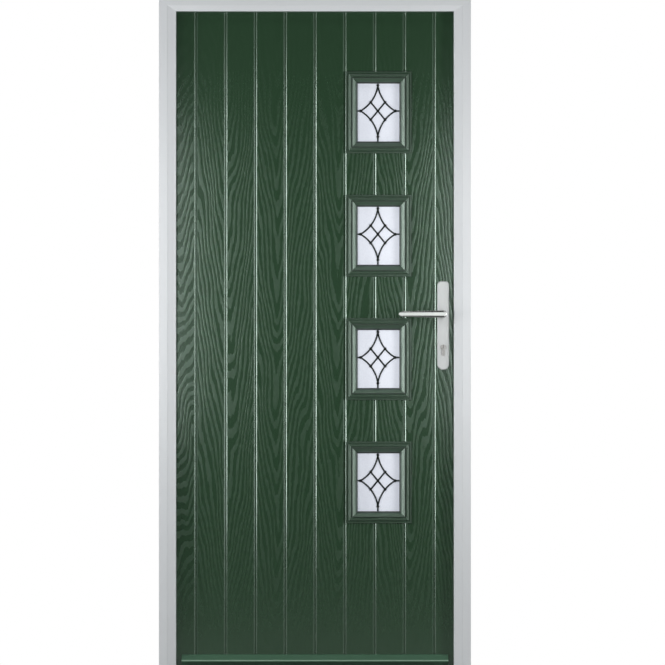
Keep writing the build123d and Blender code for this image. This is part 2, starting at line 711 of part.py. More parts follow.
def cassette_section():
    """Moulded frame section: x in from the outer edge, y to the back, with the skin's face at 0."""
    bead = RIM_WIDTH + QUIRK_WIDTH
    step = bead + BEAD_WIDTH
    crest = step + STEP_WIDTH
    fall = crest + BEVEL_WIDTH
    edge = CASSETTE_BORDER
    leg = CASSETTE_LAP + CASSETTE_CLEARANCE
    wall = CASSETTE_WALL
    foot = GLASS_RECESS
    bend = RIM_ROUND * (1 - sqrt(0.5))
    front = [
        Line((0, 0), (0, RIM_ROUND - RIM_HEIGHT)),
        ThreePointArc((0, RIM_ROUND - RIM_HEIGHT), (bend, bend - RIM_HEIGHT), (RIM_ROUND, -RIM_HEIGHT)),
        Line((RIM_ROUND, -RIM_HEIGHT), (RIM_WIDTH, -RIM_HEIGHT)),
        Line((RIM_WIDTH, -RIM_HEIGHT), (RIM_WIDTH + QUIRK_WIDTH / 3, -QUIRK_HEIGHT)),
        Line((RIM_WIDTH + QUIRK_WIDTH / 3, -QUIRK_HEIGHT), (bead, -QUIRK_HEIGHT)),
        ThreePointArc((bead, -QUIRK_HEIGHT), (bead + BEAD_CREST, -BEAD_HEIGHT), (step, -STEP_HEIGHT)),
        Line((step, -STEP_HEIGHT), (crest, -STEP_HEIGHT)),
        Line((crest, -STEP_HEIGHT), (crest, -CREST_HEIGHT)),
        Line((crest, -CREST_HEIGHT), (fall, BEVEL_FALL - CREST_HEIGHT)),
        Line((fall, BEVEL_FALL - CREST_HEIGHT), (edge, foot - CASSETTE_LIP)),
        Line((edge, foot - CASSETTE_LIP), (edge, foot)),
    ]
    inner_foot = edge - 2 * wall
    cavity = crest + wall / 2
    back = Polyline(
        (edge, foot), (inner_foot, foot), (fall - wall, wall + BEVEL_FALL - CREST_HEIGHT),
        (cavity, wall - STEP_HEIGHT), (cavity, foot), (leg, foot), (leg, 0), (0, 0))
    return make_face(Curve(front + [back]))


def cassette_screw_places():
    """Where the screws of a cassette go, in front view from the window's middle."""
    leg = CASSETTE_LAP + CASSETTE_CLEARANCE
    x = (PANE_HALF_X + CASSETTE_HALF_X - leg) / 2
    z = (PANE_HALF_Z + CASSETTE_HALF_Z - leg) / 2
    sides = [(side * x, up * CASSETTE_SCREW_SPREAD_Z) for side in (-1, 1) for up in (-1, 1)]
    ends = [(side * CASSETTE_SCREW_SPREAD_X, up * z) for side in (-1, 1) for up in (-1, 1)]
    return sides + ends


def cassette():
    """The outer half of a cassette at the origin of its window, with hollow screw bosses."""
    loop = Pos(0, SKIN_FRONT, 0) * mitred_loop(cassette_section(), CASSETTE_HALF_X, CASSETTE_HALF_Z)
    top = SKIN_FRONT - STEP_HEIGHT + CASSETTE_WALL / 2
    for x, z in cassette_screw_places():
        boss = rod(CASSETTE_BOSS / 2, (x, top, z), (0, 1, 0), MIDDLE_Y - SOFT_CLEARANCE - top)
        hole = rod(CASSETTE_SCREW_RADIUS + HOLE_CLEARANCE, (x, top + CASSETTE_WALL, z), (0, 1, 0), UNIT_DEPTH)
        loop = loop + boss - hole
    return loop


def cassette_screws():
    """Screws from inside through the inner half into the outer half's bosses."""
    start = SKIN_BACK + STEP_HEIGHT - CASSETTE_WALL / 2
    tip = SKIN_FRONT + CASSETTE_WALL
    places = cassette_screw_places()
    return [rod(CASSETTE_SCREW_RADIUS, (x, tip, z), (0, 1, 0), start - tip) for x, z in places]


def pane(y):
    """One pane of a sealed unit."""
    return block(-PANE_HALF_X, PANE_HALF_X, y, y + PANE, -PANE_HALF_Z, PANE_HALF_Z)


def spacer():
    """The hollow bar between the two panes."""
    section = rectangle(0, SPACER_WIDTH, 0, CAVITY) - rectangle(
        SPACER_WALL, SPACER_WIDTH - SPACER_WALL, SPACER_WALL, CAVITY - SPACER_WALL)
    loop = mitred_loop(section, PANE_HALF_X - SPACER_INSET, PANE_HALF_Z - SPACER_INSET)
    return Pos(0, GLASS_FRONT + PANE, 0) * loop


def lead_lines():
    """Centre lines of the lead: four bowed sides, a cross and the strips out to the edges."""
    lines = []
    edge_x = SIGHT_WIDTH / 2 - LEAD_CLEARANCE
    edge_z = SIGHT_HEIGHT / 2 - LEAD_CLEARANCE
    for side in (-1, 1):
        for up in (-1, 1):
            node = (side * NODE_X, up * NODE_Z)
            lines.append(ThreePointArc((0, up * STAR_HALF_HEIGHT), node, (side * STAR_HALF_WIDTH, 0)))
            lines.append(Line((0, 0), node))
        lines.append(Line((side * STAR_HALF_WIDTH, 0), (side * edge_x - LEAD_SHIFT, 0)))
        lines.append(Line((0, side * STAR_HALF_HEIGHT), (0, side * edge_z - LEAD_RISE)))
    return lines


def lead_pattern():
    """Flat lead strips with bevelled edges on the outer pane."""
    half_x = SIGHT_WIDTH / 2 - LEAD_CLEARANCE
    half_z = SIGHT_HEIGHT / 2 - LEAD_CLEARANCE
    stand = Plane(origin=(LEAD_SHIFT, GLASS_FRONT, LEAD_RISE), x_dir=(1, 0, 0), z_dir=(0, -1, 0))
    strips = extrude(stand * trace(lead_lines(), LEAD_WIDTH), amount=LEAD_HEIGHT, dir=(0, -1, 0))
    return strips & block(-half_x, half_x, GLASS_FRONT - LEAD_HEIGHT - 1, GLASS_FRONT + 1, -half_z, half_z)


# Rain deflector

def rain_deflector():
    """Bent strip at the foot of the outer face that throws water clear of the threshold."""
    wall = DEFLECTOR_WALL
    face = SKIN_FRONT
    nose = face - DEFLECTOR_REACH
    nose_z = DEFLECTOR_TOP - DEFLECTOR_DROP
    shoulder = face - DEFLECTOR_SHOULDER
    points = [
        (face, DEFLECTOR_TOP), (shoulder, DEFLECTOR_TOP - 1), (nose, nose_z), (nose, nose_z - DEFLECTOR_LIP),
        (nose + wall, nose_z - DEFLECTOR_LIP), (nose + wall, nose_z - 1),
        (face - wall, DEFLECTOR_TOP - 3 * wall),
        (face - wall, DEFLECTOR_TOP - DEFLECTOR_LEG), (face, DEFLECTOR_TOP - DEFLECTOR_LEG)]
    return beam(points, -DEFLECTOR_HALF, DEFLECTOR_HALF)


# Handles

def plate_shape(inset, depth):
    """The outline of a handle plate, taken in by an inset and raised off the outer skin."""
    half_x = PLATE_WIDTH / 2 - inset
    half_z = PLATE_LENGTH / 2 - inset
    face = rectangle(-half_x, half_x, -half_z, half_z)
    face = rounded_corners(face, [(-half_x, half_z), (half_x, half_z)], PLATE_TOP_RADIUS - inset)
    face = rounded_corners(face, [(-half_x, -half_z), (half_x, -half_z)], PLATE_FOOT_RADIUS - inset)
    stand = Plane(origin=(LOCK_X, SKIN_FRONT, PLATE_CENTRE_Z), x_dir=(1, 0, 0), z_dir=(0, -1, 0))
    return extrude(stand * face, amount=depth, dir=(0, -1, 0))


def bolt_heights():
    """Heights of the two bolts that join the plates through the leaf."""
    return [PLATE_CENTRE_Z + side * PLATE_BOLT_SPREAD / 2 for side in (-1, 1)]


def cylinder_profile(grow):
    """The keyhole-shaped section of the cylinder, made larger all round."""
    radius = CYLINDER_RADIUS + grow
    half = CYLINDER_WEB / 2 + grow
    foot = Pos(0, half - CYLINDER_DROP - grow) * Circle(half)
    web = rectangle(-half, half, half - CYLINDER_DROP - grow, 0)
    return Circle(radius) + web + foot


def cylinder_bar(grow, y0, y1):
    """The cylinder's section carried through the leaf."""
    stand = Plane(origin=(LOCK_X, y1, CYLINDER_Z), x_dir=(1, 0, 0), z_dir=(0, -1, 0))
    return extrude(stand * cylinder_profile(grow), amount=y1 - y0, dir=(0, -1, 0))


def handle_plate():
    """Hollow cast plate with a collar for the lever, bosses for the bolts and a hole for the cylinder."""
    plate = plate_shape(0, PLATE_DEPTH)
    rim = plate.edges().group_by(Axis.Y)[0]
    plate = fillet(rim, PLATE_EDGE_RADIUS) - plate_shape(PLATE_WALL, PLATE_DEPTH - PLATE_WALL)
    boss_root = PLATE_DEPTH - PLATE_WALL / 2
    collar = rod(COLLAR_RADIUS, (LOCK_X, SKIN_FRONT - boss_root, LEVER_Z), (0, -1, 0),
                 COLLAR_HEIGHT + PLATE_DEPTH - boss_root)
    collar = fillet(collar.edges().group_by(Axis.Y)[0], COLLAR_ROUND)
    plate = plate + collar
    for z in bolt_heights():
        plate = plate + rod(PLATE_BOSS_RADIUS, (LOCK_X, SKIN_FRONT, z), (0, -1, 0), boss_root)
    neck = NECK_RADIUS + NECK_CLEARANCE
    plate = plate - rod(neck, (LOCK_X, SKIN_FRONT + 1, LEVER_Z), (0, -1, 0), PLATE_DEPTH + COLLAR_HEIGHT + 2)
    return plate - cylinder_bar(CYLINDER_CLEARANCE, PLATE_FRONT - 1, SKIN_FRONT + 1)


def bolt_bore(radius, y0, y1):
    """Holes for both bolts over a stretch of depth."""
    return sum_of([rod(radius, (LOCK_X, y0, z), (0, 1, 0), y1 - y0) for z in bolt_heights()])


def outer_plate():
    """The outside plate, threaded from behind."""
    hole = BOLT_RADIUS + HOLE_CLEARANCE
    return handle_plate() - bolt_bore(hole, PLATE_FRONT + PLATE_WALL, SKIN_FRONT + 1)


def inner_plate():
    """The inside plate, with countersunk holes for the bolts."""
    plate = inside_out(handle_plate())
    plate = plate - bolt_bore(BOLT_RADIUS + HOLE_CLEARANCE, SKIN_BACK - 1, SKIN_BACK + PLATE_DEPTH + 1)
    face = SKIN_BACK + PLATE_DEPTH
    for z in bolt_heights():
        plate = plate - cone(BOLT_HEAD_RADIUS + HOLE_CLEARANCE, BOLT_RADIUS + HOLE_CLEARANCE,
                             (LOCK_X, face, z), (0, -1, 0), BOLT_HEAD)
    return plate


def handle_bolts():
    """Two countersunk bolts from the inside plate into the outside one."""
    face = SKIN_BACK + PLATE_DEPTH
    tip = PLATE_FRONT + PLATE_WALL + HOLE_CLEARANCE
    bolts = []
    for z in bolt_heights():
        head = cone(BOLT_HEAD_RADIUS, BOLT_RADIUS, (LOCK_X, face, z), (0, -1, 0), BOLT_HEAD)
        bolts.append(head + rod(BOLT_RADIUS, (LOCK_X, tip, z), (0, 1, 0), face - BOLT_HEAD - tip))
    return bolts


def lever_front():
    """The lever from the front: a round heel, tapering edges and a pointed tip."""
    top = LEVER_HEIGHT / 2
    tip = LEVER_TIP_HEIGHT / 2
    shoulder = LEVER_TIP_LENGTH - LEVER_REACH
    nose = (LEVER_CHEEK_IN - LEVER_REACH, LEVER_CHEEK_RISE)
    lines = [
        Line((shoulder, tip), (0, top)),
        ThreePointArc((0, top), (LEVER_HEEL, 0), (0, -top)),
        Line((0, -top), (shoulder, -tip)),
        ThreePointArc((shoulder, -tip), (nose[0], -nose[1]), (-LEVER_REACH, 0)),
        ThreePointArc((-LEVER_REACH, 0), nose, (shoulder, tip)),
    ]
    face = make_face(Curve(lines))
    return rounded_corners(face, [(-LEVER_REACH, 0)], LEVER_TIP_ROUND)


def lever():
    """Cast lever: a flat bar on a round neck, with a square hole for the spindle."""
    face = PLATE_FRONT - LEVER_PROJECTION
    back = face + LEVER_THICKNESS
    stand = Plane(origin=(LOCK_X, back, LEVER_Z), x_dir=(1, 0, 0), z_dir=(0, -1, 0))
    bar = extrude(stand * lever_front(), amount=LEVER_THICKNESS, dir=(0, -1, 0))
    taper = face_of([(LOCK_X - LEVER_REACH - 1, back + 1, LEVER_Z - LEVER_HEIGHT),
                     (LOCK_X - COLLAR_RADIUS, back + 1, LEVER_Z - LEVER_HEIGHT),
                     (LOCK_X - COLLAR_RADIUS, back, LEVER_Z - LEVER_HEIGHT),
                     (LOCK_X - LEVER_REACH - 1, face + LEVER_TIP_THICKNESS, LEVER_Z - LEVER_HEIGHT)])
    bar = bar - extrude(taper, amount=2 * LEVER_HEIGHT, dir=(0, 0, 1))
    bar = fillet(bar.edges().group_by(Axis.Y)[0], LEVER_ROUND)
    root = PLATE_FRONT + NECK_ENTRY
    neck = rod(NECK_RADIUS, (LOCK_X, root, LEVER_Z), (0, -1, 0), root - back)
    hole = SPINDLE_SIDE / 2 + SPINDLE_CLEARANCE
    socket = block(LOCK_X - hole, LOCK_X + hole, root - SPINDLE_GRIP, root + 1, LEVER_Z - hole,
                   LEVER_Z + hole)
    return bar + neck - socket


def spindle():
    """Square bar through the lock that both levers sit on."""
    half = SPINDLE_SIDE / 2
    y0 = PLATE_FRONT + NECK_ENTRY - SPINDLE_GRIP + HOLE_CLEARANCE
    y1 = 2 * MIDDLE_Y - y0
    return block(LOCK_X - half, LOCK_X + half, y0, y1, LEVER_Z - half, LEVER_Z + half)


# Key cylinder

def cam_slot():
    """Half the width of the slot in which the cam turns."""
    return CAM_WIDTH / 2 + CAM_SLOT_CLEARANCE


def cylinder_body():
    """Profile body bored for the two plugs, slotted for the cam and drilled for its fixing screw."""
    y0 = PLATE_FRONT - CYLINDER_PROUD
    y1 = 2 * MIDDLE_Y - y0
    body = cylinder_bar(0, y0, y1)
    body = body - rod(PLUG_RADIUS + PLUG_CLEARANCE, (LOCK_X, y0 - 1, CYLINDER_Z), (0, 1, 0), y1 - y0 + 2)
    reach = CAM_REACH + CAM_SLOT_CLEARANCE
    body = body - block(LOCK_X - reach, LOCK_X + reach, MIDDLE_Y - cam_slot(), MIDDLE_Y + cam_slot(),
                        CYLINDER_Z - reach, CYLINDER_Z + reach)
    hole = SCREW_RADIUS + HOLE_CLEARANCE
    return body - rod(hole, (LOCK_X - reach, MIDDLE_Y, CYLINDER_SCREW_Z), (1, 0, 0), 2 * reach)


def key_plug():
    """Outside plug with its keyway."""
    y0 = PLATE_FRONT - CYLINDER_PROUD - PLUG_PROUD
    y1 = MIDDLE_Y - cam_slot()
    plug = rod(PLUG_RADIUS, (LOCK_X, y0, CYLINDER_Z), (0, 1, 0), y1 - y0)
    plug = chamfer(plug.edges().group_by(Axis.Y)[0], PLUG_PROUD)
    half = KEYWAY_WIDTH / 2
    high = KEYWAY_HEIGHT / 2
    return plug - block(LOCK_X - half, LOCK_X + half, y0 - 1, y0 + KEYWAY_DEPTH, CYLINDER_Z - high,
                        CYLINDER_Z + high)


def cylinder_cam():
    """Ring with one arm between the plugs, which drives the lock."""
    y0 = MIDDLE_Y - CAM_WIDTH / 2
    ring = rod(CAM_RADIUS, (LOCK_X, y0, CYLINDER_Z), (0, 1, 0), CAM_WIDTH)
    half = CAM_ARM / 2
    arm = block(LOCK_X - CAM_REACH, LOCK_X, y0, y0 + CAM_WIDTH, CYLINDER_Z - half, CYLINDER_Z + half)
    return ring + (arm & rod(CAM_REACH, (LOCK_X, y0, CYLINDER_Z), (0, 1, 0), CAM_WIDTH))


def thumb_turn():
    """Inside plug with the turn that works the lock by hand."""
    y0 = MIDDLE_Y + cam_slot()
    y1 = SKIN_BACK + PLATE_DEPTH + CYLINDER_PROUD + TURN_NECK
    plug = rod(PLUG_RADIUS, (LOCK_X, y0, CYLINDER_Z), (0, 1, 0), y1 - y0)
    knob = block(LOCK_X - TURN_THICKNESS / 2, LOCK_X + TURN_THICKNESS / 2, y1, y1 + TURN_LENGTH,
                 CYLINDER_Z - TURN_WIDTH / 2, CYLINDER_Z + TURN_WIDTH / 2)
    knob = fillet(knob.edges(), TURN_ROUND)
    return plug + knob


# Lock

def lock_faceplate():
    """Long steel strip let into the edge of the leaf, with openings for every bolt."""
    half = FACEPLATE_WIDTH / 2
    strip = block(LEAF_HALF - FACEPLATE, LEAF_HALF, MIDDLE_Y - half, MIDDLE_Y + half, FACEPLATE_BOTTOM,
                  FACEPLATE_TOP)
    for cut in bolt_openings(LEAF_HALF - FACEPLATE - 1, LEAF_HALF + 1) + hook_openings(
            LEAF_HALF - FACEPLATE - 1, LEAF_HALF + 1):
        strip = strip - cut
    return strip


def bolt_openings(x0, x1):
    """Openings for the latch and the deadbolt between two planes."""
    half = BOLT_THICKNESS / 2 + RUNNING_GAP
    latch = LATCH_HEIGHT / 2 + RUNNING_GAP
    dead = DEADBOLT_HEIGHT / 2 + RUNNING_GAP
    return [block(x0, x1, MIDDLE_Y - half, MIDDLE_Y + half, LATCH_Z - latch, LATCH_Z + latch),
            block(x0, x1, MIDDLE_Y - half, MIDDLE_Y + half, DEADBOLT_Z - dead, DEADBOLT_Z + dead)]


def hook_openings(x0, x1):
    """Openings for the hooks between two planes."""
    half = HOOK_THICKNESS / 2 + BOLT_ROOM
    cuts = []
    for z in HOOK_HEIGHTS.values():
        foot = hook_sweep(LEAF_HALF - FACEPLATE - PIVOT_X) + BOLT_ROOM
        top = HOOK_HALF_WIDTH + HOOK_BEAK + BOLT_ROOM
        cuts.append(block(x0, x1, MIDDLE_Y - half, MIDDLE_Y + half, z - foot, z + top))
    return cuts


def arm_slots(x0, x1):
    """Slots in the case's front in which the slide's arms travel."""
    y0 = SLIDE_Y - RUNNING_GAP
    y1 = SLIDE_Y + SLIDE_THICKNESS + RUNNING_GAP
    rise = ARM_HEIGHT + LOCK_BAR_TRAVEL + RUNNING_GAP
    return [block(x0, x1, y0, y1, foot - RUNNING_GAP, foot + rise) for foot in (LOWER_ARM_Z, UPPER_ARM_Z)]


def lock_case():
    """Folded steel case with openings for the bolts, the slide's arms, the spindle and the cylinder."""
    half = CASE_WIDTH / 2
    back = CASE_FRONT_X - CASE_DEPTH
    wall = CASE_WALL
    case = block(back, CASE_FRONT_X, MIDDLE_Y - half, MIDDLE_Y + half, CASE_BOTTOM, CASE_TOP)
    case = case - block(back + wall, CASE_FRONT_X - wall, MIDDLE_Y - half + wall, MIDDLE_Y + half - wall,
                        CASE_BOTTOM + wall, CASE_TOP - wall)
    x0 = CASE_FRONT_X - wall - 1
    x1 = CASE_FRONT_X + 1
    for cut in bolt_openings(x0, x1) + arm_slots(x0, x1):
        case = case - cut
    case = case - bolt_bore(BOLT_RADIUS + CYLINDER_CLEARANCE, MIDDLE_Y - half - 1, MIDDLE_Y + half + 1)
    case = case - rod(SPINDLE_HOLE_RADIUS, (LOCK_X, MIDDLE_Y - half - 1, LEVER_Z), (0, 1, 0), CASE_WIDTH + 2)
    case = case - cylinder_bar(CYLINDER_CLEARANCE, MIDDLE_Y - half - 1, MIDDLE_Y + half + 1)
    hole = SCREW_RADIUS + HOLE_CLEARANCE
    return case - rod(hole, (CASE_FRONT_X + 1, MIDDLE_Y, CYLINDER_SCREW_Z), (-1, 0, 0), wall + 2)


def hook_case(z):
    """Small steel box that holds one hook on its pivot."""
    half = HOOK_CASE_WIDTH / 2
    front = LEAF_HALF - FACEPLATE
    back = front - HOOK_CASE_DEPTH
    foot = z - hook_sweep(0) - HOOK_CASE_MARGIN
    top = z + HOOK_HALF_WIDTH + HOOK_CASE_MARGIN
    wall = CASE_WALL
    box = block(back, front, MIDDLE_Y - half, MIDDLE_Y + half, foot, top)
    room = half - wall
    box = box - block(back + wall, front + 1, MIDDLE_Y - room, MIDDLE_Y + room, foot + wall, top - wall)
    pin_start = MIDDLE_Y - half + wall / 2
    return box + rod(HOOK_PIN_RADIUS, (PIVOT_X, pin_start, z), (0, 1, 0), HOOK_CASE_WIDTH - wall)


def hook(z):
    """Steel hook hanging on its pivot, with a beak that points up once it is thrown."""
    half = HOOK_HALF_WIDTH
    beak = half + HOOK_BEAK
    foot = -HOOK_LENGTH
    throat = foot + HOOK_BEAK_WIDTH
    points = [(-half, 0), (-half, foot), (beak, foot), (beak, throat), (half, throat), (half, 0)]
    outline = rounded_corners(make_face(Polyline(*points, close=True)), [(-half, foot)], half / 2)
    outline = outline + Circle(half) - Circle(HOOK_PIN_RADIUS + HINGE_PIN_CLEARANCE)
    stand = Plane(origin=(PIVOT_X, MIDDLE_Y + HOOK_THICKNESS / 2, z), x_dir=(1, 0, 0), z_dir=(0, -1, 0))
    return extrude(stand * outline, amount=HOOK_THICKNESS, dir=(0, -1, 0))


def latch_bolt():
    """Sprung latch whose outer side slopes, so that it rides over its keep as the leaf closes."""
    half = BOLT_THICKNESS / 2
    high = LATCH_HEIGHT / 2
    tip = LEAF_HALF + LATCH_THROW
    y0 = MIDDLE_Y - half
    y1 = MIDDLE_Y + half
    back = tip - LATCH_LENGTH
    neck = tip - LATCH_HEAD
    outline = [(back, y0), (LEAF_HALF, y0), (tip, y1 - LATCH_FLAT), (tip, y1), (neck, y1),
               (neck, TAIL_BACK_Y), (back, TAIL_BACK_Y)]
    return column(outline, LATCH_Z - high, LATCH_Z + high)


def deadbolt():
    """Square bolt with a thinner tail beside the slide, withdrawn."""
    half = BOLT_THICKNESS / 2
    tip = LEAF_HALF - BOLT_FLUSH
    high = DEADBOLT_HEIGHT / 2
    head = block(tip - DEADBOLT_HEAD, tip, MIDDLE_Y - half, MIDDLE_Y + half, DEADBOLT_Z - high,
                 DEADBOLT_Z + high)
    tail = block(tip - DEADBOLT_LENGTH, tip - DEADBOLT_HEAD, MIDDLE_Y - half, TAIL_BACK_Y,
                 DEADBOLT_Z - high, DEADBOLT_Z + high)
    return head + tail


def bar_span():
    """Lowest and highest point of the sliding bar at rest."""
    low = HOOK_HEIGHTS["lower"] + HOOK_HALF_WIDTH + HOOK_CASE_MARGIN + BOLT_ROOM
    high = HOOK_HEIGHTS["upper"] - hook_sweep(0) - HOOK_CASE_MARGIN - BOLT_ROOM - LOCK_BAR_TRAVEL
    return low, high


def bar_strip(low, high):
    """A stretch of flat bar behind the faceplate."""
    half = LOCK_BAR_WIDTH / 2
    return block(BAR_BACK_X, BAR_BACK_X + LOCK_BAR, MIDDLE_Y - half, MIDDLE_Y + half, low, high)


def slide_part(x0, x1, z0, z1):
    """A piece of the flat slide, in its own layer beside the tails of the bolts."""
    return block(x0, x1, SLIDE_Y, SLIDE_Y + SLIDE_THICKNESS, z0, z1)


def lock_bar():
    """Slide in the case, clear of the cam, whose two arms are riveted into the bars to the hooks."""
    low, high = bar_span()
    front = BAR_BACK_X + LOCK_BAR
    web = LOCK_X + CAM_REACH + SLIDE_GAP
    lower_arm = slide_part(web, front, LOWER_ARM_Z, LOWER_ARM_Z + ARM_HEIGHT)
    upper_arm = slide_part(web, front, UPPER_ARM_Z, UPPER_ARM_Z + ARM_HEIGHT)
    slide = slide_part(web, web + SLIDE_WIDTH, LOWER_ARM_Z, UPPER_ARM_Z + ARM_HEIGHT) + lower_arm + upper_arm
    lower = bar_strip(low, LOWER_BAR_TOP) - lower_arm
    upper = bar_strip(UPPER_BAR_FOOT, high) - upper_arm
    return group([lower, slide, upper])


# Hinges

def barrel(z0, z1):
    """One knuckle of a hinge."""
    return rod(HINGE_BARREL_RADIUS, (HINGE_X, HINGE_Y, z0), (0, 0, 1), z1 - z0)


def pin_bore(z):
    """The bore for the pin right through a hinge."""
    half = HINGE_HEIGHT / 2
    radius = HINGE_PIN_RADIUS + HINGE_PIN_CLEARANCE
    return rod(radius, (HINGE_X, HINGE_Y, z - half - 1), (0, 0, 1), 2 * half + 2)


def hinge_flag(z):
    """The leaf's part of a hinge: a flag plate whose knuckle is the upper one."""
    half = HINGE_HEIGHT / 2
    clear = HINGE_X + HINGE_BARREL_RADIUS + HINGE_SIDE_CLEARANCE
    foot = z + half - HINGE_PLATE_HEIGHT
    plate = block(clear, clear + HINGE_FLAG_WIDTH, BACK, BACK + HINGE_METAL, foot, z + half)
    plate = fillet(plate.edges().filter_by(Axis.Y).group_by(Axis.X)[-1], HINGE_CORNER)
    tab = block(HINGE_X, clear, BACK, BACK + HINGE_METAL, z + RUNNING_GAP, z + half)
    rise = block(HINGE_X, HINGE_X + HINGE_METAL, BACK, HINGE_Y, z + RUNNING_GAP, z + half)
    return plate + tab + rise + barrel(z + RUNNING_GAP, z + half) - pin_bore(z)


def hinge_plate(z):
    """The frame's part of a hinge, whose knuckle is the lower one."""
    half = HINGE_HEIGHT / 2
    clear = HINGE_X - HINGE_BARREL_RADIUS - HINGE_SIDE_CLEARANCE
    top = z - half + HINGE_PLATE_HEIGHT
    plate = block(clear - HINGE_PLATE_WIDTH, clear, BACK, BACK + HINGE_METAL, z - half, top)
    plate = fillet(plate.edges().filter_by(Axis.Y).group_by(Axis.X)[0], HINGE_CORNER)
    tab = block(clear, HINGE_X, BACK, BACK + HINGE_METAL, z - half, z)
    rise = block(HINGE_X - HINGE_METAL, HINGE_X, BACK, HINGE_Y, z - half, z)
    return plate + tab + rise + barrel(z - half, z) - pin_bore(z)


def hinge_pin(z):
    """Pin with a domed cap, fixed in the lower knuckle."""
    half = HINGE_HEIGHT / 2
    pin = rod(HINGE_PIN_RADIUS, (HINGE_X, HINGE_Y, z - half), (0, 0, 1), HINGE_HEIGHT + RUNNING_GAP)
    cap = rod(HINGE_BARREL_RADIUS, (HINGE_X, HINGE_Y, z + half + RUNNING_GAP), (0, 0, 1), HINGE_PIN_HEAD)
    return pin + fillet(cap.edges().group_by(Axis.Z)[-1], HINGE_CAP_ROUND)


# Fasteners, each a start point, a direction and a length

def plate_screws(z):
    """Screws through the frame's hinge plate."""
    half = HINGE_HEIGHT / 2
    x = HINGE_X - HINGE_BARREL_RADIUS - HINGE_SIDE_CLEARANCE - HINGE_PLATE_WIDTH / 2
    spread = HINGE_PLATE_HEIGHT / 2 - HINGE_SCREW_INSET
    middle = z - half + HINGE_PLATE_HEIGHT / 2
    face = BACK + HINGE_METAL
    return [((x, face, middle + i * spread), (0, -1, 0), FRAME_SCREW_LENGTH) for i in (-1, 0, 1)]


def flag_screws(z):
    """Screws through the leaf's hinge flag."""
    half = HINGE_HEIGHT / 2
    near = HINGE_X + HINGE_BARREL_RADIUS + HINGE_SIDE_CLEARANCE + HINGE_SCREW_INSET
    far = near + HINGE_FLAG_WIDTH - 2 * HINGE_SCREW_INSET
    spread = HINGE_PLATE_HEIGHT / 2 - HINGE_SCREW_INSET
    middle = z + half - HINGE_PLATE_HEIGHT / 2
    return [((x, BACK + HINGE_METAL, middle + i * spread), (0, -1, 0), LEAF_SCREW_LENGTH)
            for x in (near, far) for i in (-1, 1)]


def faceplate_screws():
    """Screws through the faceplate into the stile, clear of the bar and the hooks."""
    heights = [FACEPLATE_BOTTOM + KEEP_SCREW_INSET, FACEPLATE_TOP - KEEP_SCREW_INSET,
               HOOK_HEIGHTS["upper"] + HOOK_CASE_DEPTH + KEEP_SCREW_INSET]
    return [((LEAF_HALF, MIDDLE_Y, z), (-1, 0, 0), LEAF_SCREW_LENGTH) for z in heights]


def deflector_screws():
    """Screws through the back leg of the rain deflector."""
    z = DEFLECTOR_TOP - DEFLECTOR_LEG + KEEP_SCREW_INSET
    face = SKIN_FRONT - DEFLECTOR_WALL
    end = DEFLECTOR_HALF - DEFLECTOR_SCREW_END
    step = 2 * end / (DEFLECTOR_SCREW_COUNT - 1)
    places = [i * step - end for i in range(DEFLECTOR_SCREW_COUNT)]
    return [((x, face, z), (0, 1, 0), DEFLECTOR_SCREW_LENGTH) for x in places]


def drilled(shape, places):
    """A shape with a countersunk hole at each place."""
    for start, direction, length in places:
        shape = shape - screw_hole(start, direction, length)
    return shape


# Assembly

def build_frame():
    """All that is fixed to the wall."""
    hinge_places = [place for z in HINGE_HEIGHTS.values() for place in plate_screws(z)]
    keeps = {name: keep(name) for name in ("centre", "lower", "upper")}
    keep_places = [(start, (1, 0, 0), FRAME_SCREW_LENGTH) for _, starts in keeps.values() for start in starts]
    lock_jamb = drilled(other_side(bare_jamb()), keep_places)
    lock_tube = drilled(other_side(bare_jamb_tube()), keep_places)
    for name in keeps:
        lock_jamb = lock_jamb - keep_pocket(name)
        lock_tube = lock_tube - keep_pocket(name)
    parts["jamb_hinge_side"] = drilled(bare_jamb(), hinge_places) - seal_slot()
    parts["jamb_lock_side"] = lock_jamb - seal_slot()
    parts["frame_head"] = head_member() - seal_slot()
    parts["threshold"] = threshold()
    parts["frame_seal"] = frame_seal()
    parts["steel_tubes"] = group([drilled(bare_jamb_tube(), hinge_places), lock_tube, head_tube()])
    parts["keep_centre"] = drilled(keeps["centre"][0], keep_places)
    parts["keeps_for_hooks"] = group([drilled(keeps[name][0], keep_places) for name in ("lower", "upper")])
    for name, z in HINGE_HEIGHTS.items():
        parts[f"hinge_plate_{name}"] = drilled(hinge_plate(z), plate_screws(z))
    parts["hinge_pins"] = group([hinge_pin(z) for z in HINGE_HEIGHTS.values()])
    parts["frame_screws"] = group([screw(*place) for place in hinge_places + keep_places])


